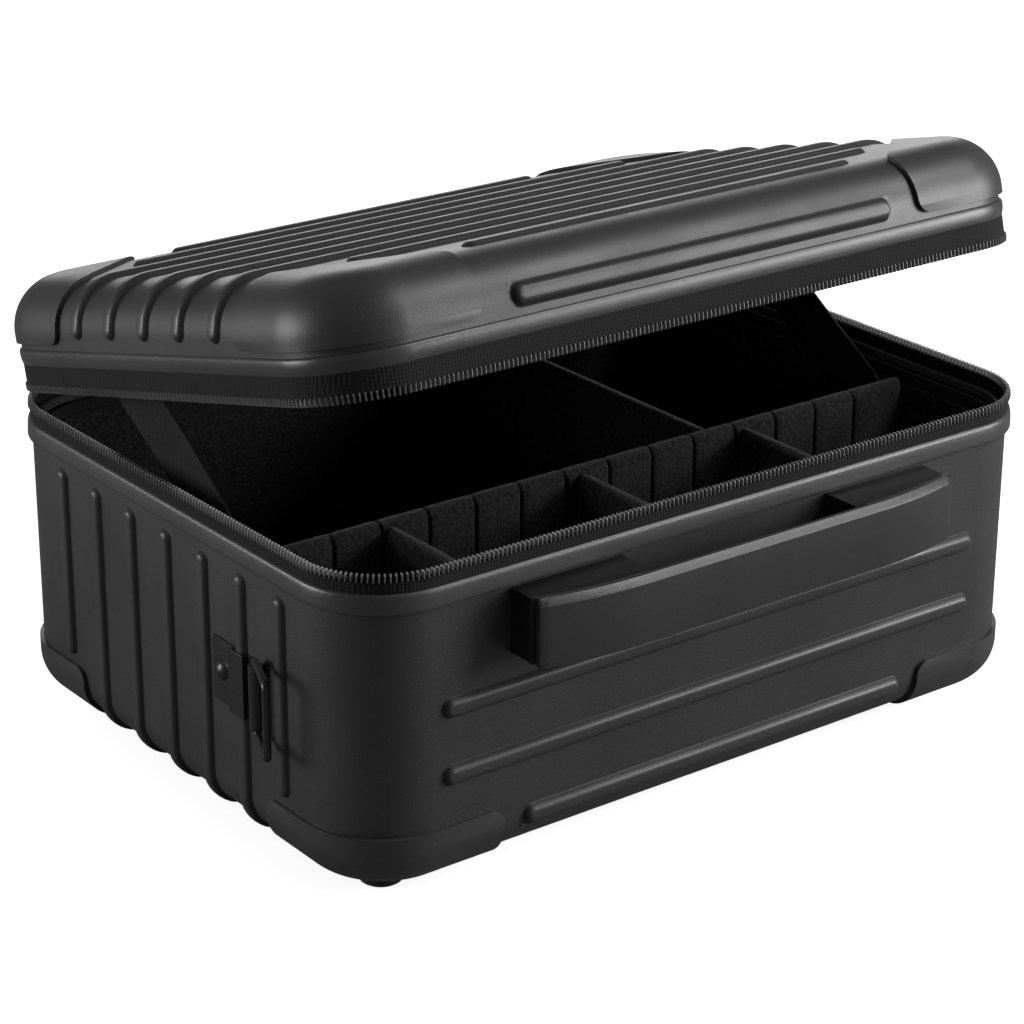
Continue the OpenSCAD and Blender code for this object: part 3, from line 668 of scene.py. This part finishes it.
# ---- Lining of the body ----
# Thin black cloth glued over a 2 mm board inside the shell. At the top it is turned out over
# the rim in a soft rolled edge.
def woven_cloth(name, tone, thread, sheen):
    """Threads on every axis under a little fuzz, with pale lint here and there."""
    finish, tree, shade = new_finish(name)
    where = place_on(tree)
    threads = {"Vector": where, "Scale": 1.0 / thread / 6.3, "Distortion": 0.6, "Detail": 1.0}
    waves = [
        add_node(tree, "ShaderNodeTexWave", threads, wave_type="BANDS", bands_direction=axis).outputs["Fac"]
        for axis in "XYZ"
    ]
    heights = sums(tree, *waves, noise(tree, where, 900.0, 4.0))
    lint = spread(tree, noise(tree, where, 60.0, 8.0), 0.0, 0.25, 0.35, 0.75)
    feed(tree, shade, {
        "Base Color": mixed(tree, lint, (*tone, 1), (*[c * 2.0 + 0.006 for c in tone], 1)),
        "Normal": bumped(tree, heights, 0.55, 0.00018),
        "Roughness": 0.85, "Specular IOR Level": 0.3, "Sheen Weight": sheen, "Sheen Roughness": 0.4,
    })
    return finish


lining_cloth = woven_cloth("lining_cloth", (0.005, 0.005, 0.0052), 0.0009, sheen=0.08)
inner_edge = 0.011
lining_low, lining_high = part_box("body_lining")
lining_out = lining_high.x - half_l
lining_t = 0.002
lining_z = lining_low.z
lining_top = lining_high.z
lining_section = (
    [(lining_out - inner_edge - lining_t, lining_z + lining_t)]
    + bend(lining_out - inner_edge, lining_z + inner_edge, inner_edge - lining_t, -90, 0, 8)
    + [(lining_out - lining_t, lining_top - 0.0012), (lining_out - lining_t + 0.0004, lining_top - 0.0003),
       (lining_out - lining_t / 2, lining_top), (lining_out - 0.0004, lining_top - 0.0003),
       (lining_out, lining_top - 0.0012)]
    + bend(lining_out - inner_edge, lining_z + inner_edge, inner_edge, 0, -90, 8)
)
body_lining = run_round("body_lining_cloth", full_outline, lining_section, lining_cloth, closed=False, crease=60)
fitted(body_lining, "body", "body_lining")

# ---- Foam pads on the walls and the floor ----
# Thin foam boards covered in black cloth: one stands all round inside the lining, and one
# lies on the floor under the dividers.
pad_cloth, pile, pile_shade = new_finish("brushed_pad_cloth")
pile_grain = noise(pile, place_on(pile), 650.0, 5.0, Roughness=0.7)
pile_flecks = add_node(pile, "ShaderNodeValToRGB", {"Fac": pile_grain})
ground, fleck = pile_flecks.color_ramp.elements
ground.position, ground.color = 0.42, (0.006, 0.006, 0.0065, 1)
fleck.position, fleck.color = 0.72, (0.045, 0.045, 0.047, 1)
feed(pile, pile_shade, {
    "Base Color": pile_flecks.outputs["Color"], "Normal": bumped(pile, pile_grain, 0.8, 0.0006),
    "Roughness": 0.95, "Specular IOR Level": 0.15, "Sheen Weight": 0.15,
})
pads_low, pads_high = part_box("wall_pads")
pad_out = pads_high.x - half_l
pad_t = 0.0019
wall_section = [
    (pad_out - 0.0006, pads_low.z), (pad_out, pads_low.z + 0.0008), (pad_out, pads_high.z - 0.0009),
    (pad_out - 0.0005, pads_high.z - 0.0002), (pad_out - pad_t / 2, pads_high.z),
    (pad_out - pad_t + 0.0004, pads_high.z - 0.0002), (pad_out - pad_t, pads_high.z - 0.0010),
    (pad_out - pad_t, pads_low.z + 0.0008), (pad_out - pad_t + 0.0005, pads_low.z),
]
wall_pads = run_round("wall_pads_foam", full_outline, wall_section, pad_cloth, crease=60)
fitted(wall_pads, "body", "wall_pads")

flat_low, flat_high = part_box("floor_pad")
flat_out = flat_high.x - half_l
floor_section = [
    (flat_out - 0.0010, flat_low.z), (flat_out - 0.0002, flat_low.z + 0.0008), (flat_out, flat_low.z + 0.002),
    (flat_out - 0.0003, flat_high.z - 0.0012), (flat_out - 0.0012, flat_high.z - 0.0003),
    (flat_out - 0.0026, flat_high.z),
]
floor_pad = run_round("floor_pad_foam", full_outline, floor_section, pad_cloth, closed=False, crease=60)
fitted(floor_pad, "body", "floor_pad")


# ---- Dividers ----
# Removable boards of black foam with a felt-like cloth face: a long one from end to end with
# upright slits that the others push into, three short ones in front of it and one behind.
def foam_board(name, low, high, along, slits=(), corner=0.0):
    """A foam board with soft edges. `along` is 0 or 1, the axis it runs along; slits are
    upright grooves pressed into both faces; corner cuts the two lower ends away."""
    mid = (low + high) / 2
    half_run = (high[along] - low[along]) / 2
    half_t = (high[1 - along] - low[1 - along]) / 2
    tall = high.z - low.z
    runs = {-half_run, -half_run + 0.0012, -half_run + 0.003, half_run, half_run - 0.0012, half_run - 0.003}
    for centre in slits:
        runs |= {centre + d for d in (-0.0016, -0.0008, -0.00035, 0.00035, 0.0008, 0.0016)}
    runs |= set(np.linspace(-half_run + 0.004, half_run - 0.004, max(6, int(half_run / 0.004))))
    runs = sorted(runs)
    runs = [runs[0]] + [b for a, b in zip(runs, runs[1:]) if b - a > 0.0002]
    levels = [0, 0.0008, 0.0024, 0.0105, 0.0125, *np.linspace(0.02, tall - 0.02, 6), tall - 0.0125, tall - 0.0105]
    levels += [tall - d for d in (0.004, 0.003, 0.002, 0.0012, 0.0005, 0.0001)] + [tall]
    grid = {1: [], -1: []}
    for face in (1, -1):
        for r in runs:
            row = []
            for h in levels:
                near_top = max(0.0, 0.004 - (tall - h)) / 0.004
                near_low = max(0.0, 0.0024 - h) / 0.0024
                near_end = max(0.0, 0.003 - (half_run - abs(r))) / 0.003
                d = half_t * math.sqrt(1 - 0.96 * near_top ** 2)
                d = d * (1 - 0.3 * near_low ** 2) * (1 - 0.4 * near_end ** 2)
                for centre in slits:
                    if h > 0.0115 and abs(r - centre) < 0.0009:
                        d -= 0.0014 * (1 - (abs(r - centre) / 0.0009) ** 2)
                reach = r
                if corner and h < corner:
                    reach = r * (half_run - (corner - h)) / half_run
                p = [0, 0, low.z + h]
                p[along] = mid[along] + reach
                p[1 - along] = mid[1 - along] + face * d
                row.append(p)
            grid[face].append(row)
    board = slab(name, np.array(grid[1]), np.array(grid[-1]), pad_cloth, crease=50)
    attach(board, "body")
    return board


slot_pitch = 0.022
low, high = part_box("long_divider")
slits = [k * slot_pitch for k in range(-6, 7)]
long_board = foam_board("long_divider_foam", low, high, 0, slits, corner=0.0094)
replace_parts(long_board, "long_divider")
for node in ("front_divider_1", "front_divider_2", "front_divider_3", "rear_divider"):
    low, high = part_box(node)
    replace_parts(foam_board(node + "_foam", low, high, 1), node)


# ---- Zip tape of the body ----
# Woven black tape, 1 mm thick, sewn into the rim band. It stands up round three sides and
# the ends of the back, and carries the lower row of teeth.
zip_cloth = woven_cloth("zip_cloth", (0.0035, 0.0035, 0.0037), 0.0007, sheen=0.04)
tape_t = 0.0010
zip_end_x = 0.104
tooth_pitch = 0.002
body_zip_path = case_outline(60, 46, 16, back_gap=zip_end_x)
tape_section = [
    (-tape_t / 2, -0.0052), (-tape_t / 2, 0.0040), (-tape_t * 0.7, 0.0043), (-tape_t * 0.7, 0.0047), (0, 0.0050),
    (tape_t * 0.7, 0.0047), (tape_t * 0.7, 0.0043), (tape_t / 2, 0.0040), (tape_t / 2, -0.0052),
]


def path_length(path):
    return float(np.hypot(*np.diff(path[:, :2], axis=0).T).sum())


body_tape_section = [(o, rim_z + z) for o, z in tape_section]
body_tape = run_round("body_zip_tape_cloth", body_zip_path, body_tape_section, zip_cloth, loop=False)
fitted(body_tape, "body", "body_zip_tape")

# ---- Teeth of the body ----
# Moulded nylon teeth clamped on the tape's edge, 2 mm apart, each with a waist and a wider
# head that fits between two heads of the other row.
zip_nylon = moulded_plastic("zip_nylon", (0.15, 0.15, 0.155), 0.30, 4000, wear=0.8)


def tooth(name, levels):
    """One tooth from rows of (height, half width along the tape, half depth)."""
    pts, faces = [], []
    for z, w, d in levels:
        c = 0.35
        for sx, sy in ((-1, -c), (-c, -1), (c, -1), (1, -c), (1, c), (c, 1), (-c, 1), (-1, c)):
            pts.append((sx * w, sy * d, z))
    for i in range(len(levels) - 1):
        for k in range(8):
            a, b = i * 8 + k, i * 8 + (k + 1) % 8
            faces.append((a, b, b + 8, a + 8))
    faces.append(tuple(range(7, -1, -1)))
    faces.append(tuple(range(len(pts) - 8, len(pts))))
    return made(name, pts, faces, zip_nylon)


def along_path(name, pattern, path, level, spacing, finish):
    """Geometry Nodes: copies of one pattern at even spacing along a path, turned with it."""
    rail_mesh = bpy.data.meshes.new(name + "_rail")
    along = [(i, i + 1) for i in range(len(path) - 1)]
    rail_mesh.from_pydata([(x, y + case_y, level) for x, y in path[:, :2]], along, [])
    rail = bpy.data.objects.new(name + "_rail", rail_mesh)
    scene.collection.objects.link(rail)
    inputs = {"Rail": "Object", "Pattern": "Object", "Spacing": "Float", "Finish": "Material"}
    tree, given = node_group(name + "_walk", inputs)
    rail_info = add_node(tree, "GeometryNodeObjectInfo", {"Object": given["Rail"]})
    curve = add_node(tree, "GeometryNodeMeshToCurve", {"Mesh": rail_info.outputs["Geometry"]})
    steps = {"Curve": curve.outputs["Curve"], "Length": given["Spacing"]}
    even = add_node(tree, "GeometryNodeResampleCurve", steps, mode="LENGTH")
    heading = {"Vector": add_node(tree, "GeometryNodeInputTangent").outputs["Tangent"]}
    aim_x = add_node(tree, "FunctionNodeAlignRotationToVector", heading, axis="X", pivot_axis="Z")
    copy_pattern(tree, given, {"Points": even.outputs["Curve"], "Rotation": aim_x.outputs["Rotation"]})
    return grown(name, tree, {"Rail": rail, "Pattern": pattern, "Spacing": spacing, "Finish": finish})


lower_tooth = tooth("lower_tooth", [
    (0.0044, 0.00036, 0.0010), (0.0047, 0.00042, 0.0013), (0.0057, 0.00036, 0.0013), (0.0062, 0.00031, 0.0012),
    (0.0066, 0.00045, 0.0012), (0.0072, 0.00045, 0.0011), (0.00757, 0.00030, 0.0008),
])
even_pitch = path_length(body_zip_path) / math.floor(path_length(body_zip_path) / tooth_pitch)
tooth_step = even_pitch * 0.9999
body_teeth = along_path("body_zip_teeth", lower_tooth, body_zip_path, rim_z, tooth_step, zip_nylon)
fitted(body_teeth, "body", "body_zip_chain")
eased("zip_end_stops", zip_nylon, 0.0003)

# ---- Sewn tabs of the body ----
# Folded ends of black webbing, stitched to the wall pads at both ends of the case. They hold
# the lower ends of the lid stays.
webbing = woven_cloth("webbing", (0.0035, 0.0035, 0.0037), 0.0016, sheen=0.05)
eased("body_stay_tabs", webbing, 0.0004)

# ---- Strap ring brackets ----
# Pressed steel plates, enamelled satin black, that clasp a rib at each end of the case and
# roll into a barrel round the ring's pin. A domed rivet holds each one.
black_enamel, enamel, enamel_shade = new_finish("black_enamel")
peel = noise(enamel, place_on(enamel), 1400.0, 3.0)
feed(enamel, enamel_shade, {
    "Base Color": mixed(enamel, peel, (0.018, 0.018, 0.019, 1), (0.040, 0.040, 0.042, 1)),
    "Roughness": spread(enamel, peel, 0.22, 0.4),
    "Normal": bumped(enamel, peel, 0.15, 0.00005),
    "Metallic": 0.35,
})
for node in ("ring_bracket_left", "ring_bracket_right", "ring_rivets"):
    eased(node, black_enamel, 0.0003)

# ---- Strap rings ----
# Loops of 3 mm wire, bent to a rectangle with rounded corners and enamelled, that turn in
# their brackets' barrels.
for side in ("left", "right"):
    eased("strap_ring_" + side, black_enamel, 0.0, crease=60)

# ---- Handle end blocks ----
# Moulded blocks screwed on the front wall, with a socket for each post of the handle, a thin
# rubber shim where the handle rests on them, and their screws and return springs.
block_plastic = moulded_plastic("handle_block_plastic", (0.0035, 0.0035, 0.0037), 0.5, 2000, wear=0.3)
for side in ("left", "right"):
    eased("handle_block_" + side, block_plastic, 0.0007)
    eased("handle_shim_" + side, foot_rubber, 0.0003)
eased("handle_screws", zinc, 0.0003)
springs = eased("handle_springs", zinc, 0.0)
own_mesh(springs)

# ---- Handle ----
# A flat grip of glossy black plastic, moulded in one 206 mm piece that curves back a little
# towards its ends, with a broad bevel along its upper front edge. Two steel posts carry it.
grip_plastic = moulded_plastic("grip_plastic", (0.034, 0.034, 0.0345), 0.30, 2200, wear=0.5)
grip_low, grip_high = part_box("handle_grip")
grip_half, grip_t, grip_flat, grip_bend = 0.103, 0.0046, 0.058, 0.184
tall = grip_high.z - grip_low.z
ring_of = [
    (0.0010, 0), (0.0003, 0.0003), (0, 0.0010), (0, tall - 0.0026), (0.0002, tall - 0.0023), (0.0021, tall - 0.0003),
    (0.0024, tall), (grip_t - 0.0006, tall), (grip_t - 0.0001, tall - 0.0003), (grip_t, tall - 0.0010),
    (grip_t, 0.0008), (grip_t - 0.0003, 0.0002), (grip_t - 0.0008, 0),
]
grip_rows = []
stations = [-grip_half, -grip_half + 0.0003, -grip_half + 0.0012,
            *np.linspace(-grip_half + 0.004, grip_half - 0.004, 49),
            grip_half - 0.0012, grip_half - 0.0003, grip_half]
for x in stations:
    beyond = max(0.0, abs(x) - grip_flat)
    y = grip_low.y + grip_bend - math.sqrt(grip_bend ** 2 - beyond ** 2)
    lean_a = math.asin(beyond / grip_bend) * (1 if x > 0 else -1)
    shrink = {0: 0.0009, 1: 0.0003}.get(min(stations.index(x), len(stations) - 1 - stations.index(x)), 0.0)
    row = []
    for d, z in ring_of:
        dd = d + shrink * (1 if d < grip_t / 2 else -1)
        zz = z + shrink * (1 if z < tall / 2 else -1)
        row.append((x - math.sin(lean_a) * dd, y + math.cos(lean_a) * dd, grip_low.z + zz))
    grip_rows.append(row)
grip_pts = [p for row in grip_rows for p in row]
m = len(ring_of)
grip_faces = [
    (i * m + j, i * m + (j + 1) % m, (i + 1) * m + (j + 1) % m, (i + 1) * m + j)
    for i in range(len(grip_rows) - 1) for j in range(m)
]
grip_faces += [tuple(range(m)), tuple(range((len(grip_rows) - 1) * m, len(grip_rows) * m))[::-1]]
grip = made("handle_grip_plate", grip_pts, grip_faces, grip_plastic, crease=25)
fitted(grip, "handle", "handle_grip")
posts_steel = worn_metal("post_steel", (0.35, 0.35, 0.36), 0.3, 700)
eased("handle_posts", posts_steel, 0.0)

# ---- Lid shell ----
# The upper half of the case, drawn from the same sheet, with five ribs that wrap over it
# from end to end, four more along its top, and one on its front and on its back. It is made
# here shut, and then turned up about its cloth hinge to where it stands ajar.
hinge_y = case_y + half_w
line_z = rim_z + 0.0076
lid_rise, lid_edge = 0.0417, 0.020
lid_zip_h, lid_band_h = 0.0066, 0.0096
seam_z = lid_zip_h + lid_band_h
opened = math.radians(14.67)
swing = (
    Matrix.Translation((0, hinge_y, line_z)) @ Matrix.Rotation(-opened, 4, "X")
    @ Matrix.Translation((0, -hinge_y, -line_z))
)


def ajar(piece):
    piece.data.transform(swing)
    return piece


lid_top = line_z + lid_rise
lid_section = (
    [(-lid_edge, lid_top - wall)]
    + bend(-lid_edge, lid_top - lid_edge, lid_edge - wall, 90, 0, 12)
    + [(-wall, line_z + seam_z - 0.004), (0, line_z + seam_z - 0.004), (0, lid_top - lid_edge)]
    + bend(-lid_edge, lid_top - lid_edge, lid_edge, 0, 90, 16)
)
lid_parts = [run_round("lid_skin", full_outline, lid_section, shell_plastic, closed=False)]
place, length, middle = wrapped_path(line_z + 0.0212, lid_top, lid_edge, half_l)
lid_wrap = rib_form("lid_wrap_rib", place, length, 0.0070, 0.0022, shell_plastic, middle)
lid_parts.append(repeated("lid_wraps", lid_wrap, 5, (0, case_y - 2 * rib_pitch, 0), (0, rib_pitch, 0), shell_plastic))
for k, reach in ((3, half_l - 0.044), (4, half_l - 0.077)):
    bar = rib_form(
        "top_rib", lambda s: ((-reach + s, case_y, lid_top), (0, 0, 1), (0, 1, 0)), 2 * reach, 0.0070,
        0.0022 if k == 3 else 0.0018, shell_plastic,
    )
    lid_parts.append(repeated("top_ribs", bar, 2, (0, -k * rib_pitch, 0), (0, 2 * k * rib_pitch, 0), shell_plastic))
tilt = math.asin((0.0237 - (lid_rise - lid_edge)) / lid_edge)
for side in (-1, 1):
    lid_parts.append(rib_form(
        "lid_bar",
        lambda s: (
            (-0.0915 + s, case_y + side * (half_w - lid_edge + lid_edge * math.cos(tilt)), line_z + 0.0237),
            (0, side * math.cos(tilt), math.sin(tilt)),
            (0, -side * math.sin(tilt), math.cos(tilt)),
        ),
        0.183, 0.0078, 0.0026, shell_plastic,
    ))
lid_shell = ajar(joined("lid_shell_skin", lid_parts))
fitted(lid_shell, "lid", "lid_shell")

# ---- Rim band of the lid ----
# The same band again on the lid. It is drawn in towards the zip and leaves a dark groove where
# it meets the shell, and at the back it stops short, to clear the sliders.
lid_band_section = [
    (-0.0039, 0.0098), (-0.0039, 0.0070), (-0.0034, 0.0066), (-0.0016, 0.0066), (-0.0010, 0.0069), (-0.0004, 0.0078),
    (0.0004, 0.0094), (0.0010, 0.0114), (0.0012, 0.0132), (0.0012, 0.0148), (0.0009, 0.0157), (0.0003, 0.0161),
    (-0.0004, 0.0162), (-0.0004, 0.0120),
]
lid_band_section = [(o, line_z + z) for o, z in lid_band_section]
lid_band = run_round("lid_band", full_outline, lid_band_section, band_plastic, crease=50)
for point in lid_band.data.vertices:
    share = min(1.0, max(0.0, (hinge_y - 0.004 - point.co.y) / 0.03))
    if point.co.z < line_z + 0.0075:
        point.co.z -= 0.0019 * share * share * (3 - 2 * share)
ajar(lid_band)
fitted(lid_band, "lid", "lid_rim_band")

# ---- Corner guards of the lid ----
# Four more caps of the same plastic, bonded over the lid's upper corners in the same way as
# the body's.
for corner in ("fl", "fr", "bl", "br"):
    eased("lid_guard_" + corner, guard_plastic, 0.0009)

# ---- Lining of the lid ----
# The same cloth over board as in the body, close inside the lid's shell, with its lower edge
# rolled in behind the band.
lid_lining_out = -wall - 0.0012
r_in = lid_edge + lid_lining_out
lid_lining_top = lid_top + lid_lining_out
lid_lining_low = line_z + 0.0086
lid_lining_section = (
    [(lid_lining_out - r_in, lid_lining_top)]
    + bend(lid_lining_out - r_in, lid_lining_top - r_in, r_in, 90, 0, 12)
    + [(lid_lining_out, lid_lining_low + 0.0008), (lid_lining_out - 0.0005, lid_lining_low + 0.0001),
       (lid_lining_out - lining_t / 2, lid_lining_low), (lid_lining_out - lining_t + 0.0005, lid_lining_low + 0.0001),
       (lid_lining_out - lining_t, lid_lining_low + 0.0008)]
    + bend(lid_lining_out - r_in, lid_lining_top - r_in, r_in - lining_t, 0, 90, 12)
)
lid_lining = run_round("lid_lining_cloth", full_outline, lid_lining_section, lining_cloth, closed=False, crease=60)
ajar(lid_lining)
fitted(lid_lining, "lid", "lid_lining")


# ---- Zip tape and teeth of the lid ----
# The upper tape hangs from the lid's band and ends at the back corners, clear of the sliders.
# Its teeth sit half a pitch along from the lower ones, so that the rows mesh when shut.
def shorter_path(path, cut):
    """The path with the same length taken off both ends."""
    gone = np.concatenate(([0], np.cumsum(np.hypot(*np.diff(path[:, :2], axis=0).T))))
    kept = gone[(gone > cut + 1e-5) & (gone < gone[-1] - cut - 1e-5)]
    kept = np.concatenate(([cut], kept, [gone[-1] - cut]))
    rows = np.stack([np.interp(kept, gone, path[:, i]) for i in range(4)], axis=1)
    rows[:, 2:] /= np.hypot(rows[:, 2], rows[:, 3])[:, None]
    return rows


slider_room = 17.5 * even_pitch
lid_zip_path = shorter_path(body_zip_path, slider_room)
lid_tape_section = [(o, line_z + 0.0064 - z) for o, z in tape_section]
lid_tape = ajar(run_round("lid_zip_tape_cloth", lid_zip_path, lid_tape_section, zip_cloth, loop=False))
fitted(lid_tape, "lid", "lid_zip_tape")
upper_tooth = tooth("upper_tooth", [
    (-0.00117, 0.00030, 0.0008), (-0.0008, 0.00045, 0.0011), (-0.0002, 0.00045, 0.0012), (0.0003, 0.00031, 0.0012),
    (0.0008, 0.00036, 0.0013), (0.0017, 0.00042, 0.0013), (0.0020, 0.00036, 0.0010),
])
lid_teeth = ajar(along_path("lid_zip_teeth", upper_tooth, lid_zip_path, line_z, tooth_step, zip_nylon))
fitted(lid_teeth, "lid", "lid_zip_chain")

# ---- Sewn tabs of the lid ----
# Folded ends of the same webbing, stitched to the lid's lining. They hold the upper ends of
# the lid stays.
eased("lid_stay_tabs", webbing, 0.0004)


# ---- Hinge tape ----
# The lid has no metal hinge: a strip of heavy woven tape, 204 mm long and 1 mm thick, is sewn
# into both bands along the back and folds on the zip line.
def ribbon(name, centre_line, sideways, width, thick, finish, steps=9):
    """A flat strip along a line of points; `sideways` is the way across it."""
    pts = [Vector(p) for p in centre_line]
    across_w = Vector(sideways).normalized()
    top, low = [], []
    for i, p in enumerate(pts):
        ahead = (pts[min(i + 1, len(pts) - 1)] - pts[max(i - 1, 0)]).normalized()
        face = ahead.cross(across_w).normalized()
        top.append([p + face * thick / 2 + across_w * w for w in np.linspace(-width / 2, width / 2, steps)])
        low.append([p - face * thick / 2 + across_w * w for w in np.linspace(-width / 2, width / 2, steps)])
    return slab(name, np.array(top), np.array(low), finish, crease=50)


hinge_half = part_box("hinge_tape")[1].x
fold = []
for d in np.linspace(-0.0120, -0.0012, 7):
    fold.append((0, hinge_y - tape_t / 2, line_z + d))
for a in np.linspace(0, opened, 5)[1:-1]:
    fold.append((0, hinge_y - tape_t / 2 + 0.0002, line_z + 0.0012 * (a / opened * 2 - 1)))
for d in np.linspace(0.0012, 0.0100, 6):
    fold.append((0, hinge_y - tape_t / 2 * math.cos(opened) + d * math.sin(opened), line_z + d * math.cos(opened)))
hinge_cloth = ribbon("hinge_tape_cloth", fold, (1, 0, 0), 2 * hinge_half, tape_t, zip_cloth, steps=80)
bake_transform(hinge_cloth)
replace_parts(hinge_cloth, "hinge_tape")

# ---- Lid stays ----
# A ribbon of black webbing, 25 mm wide, at each end of the case, from a tab on the wall pad
# to a tab inside the lid. It stops the lid from falling open.
stay_w, stay_t = 0.025, 0.0008
stay_foot = Vector((0, hinge_y - 0.166, line_z - 0.028))
stay_head = Vector((
    0, hinge_y - 0.0835 * math.cos(opened) + 0.011 * math.sin(opened),
    line_z + 0.0835 * math.sin(opened) + 0.011 * math.cos(opened),
))
run = stay_head - stay_foot
across_stay = Vector((0, -run.z, run.y)).normalized()
for side, sign in (("left", -1), ("right", 1)):
    stay_x = sign * 0.1596
    line = [
        stay_foot + run * f + Vector((stay_x - sign * 0.0014 * math.sin(math.pi * f) ** 2, 0, 0))
        for f in np.linspace(0, 1, 41)
    ]
    stay = ribbon("stay_" + side + "_webbing", line, across_stay, stay_w, stay_t, webbing, steps=13)
    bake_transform(stay)
    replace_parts(stay, "stay_" + side)

# ---- Zip sliders and pulls ----
# Two die-cast sliders, plated black, parked at the ends of the hinge tape on the back, each
# with a flat pull that hangs from its pin.
for side in ("left", "right"):
    eased("zip_slider_" + side, black_enamel, 0.0004)
    eased("zip_pull_" + side, black_enamel, 0.0003)
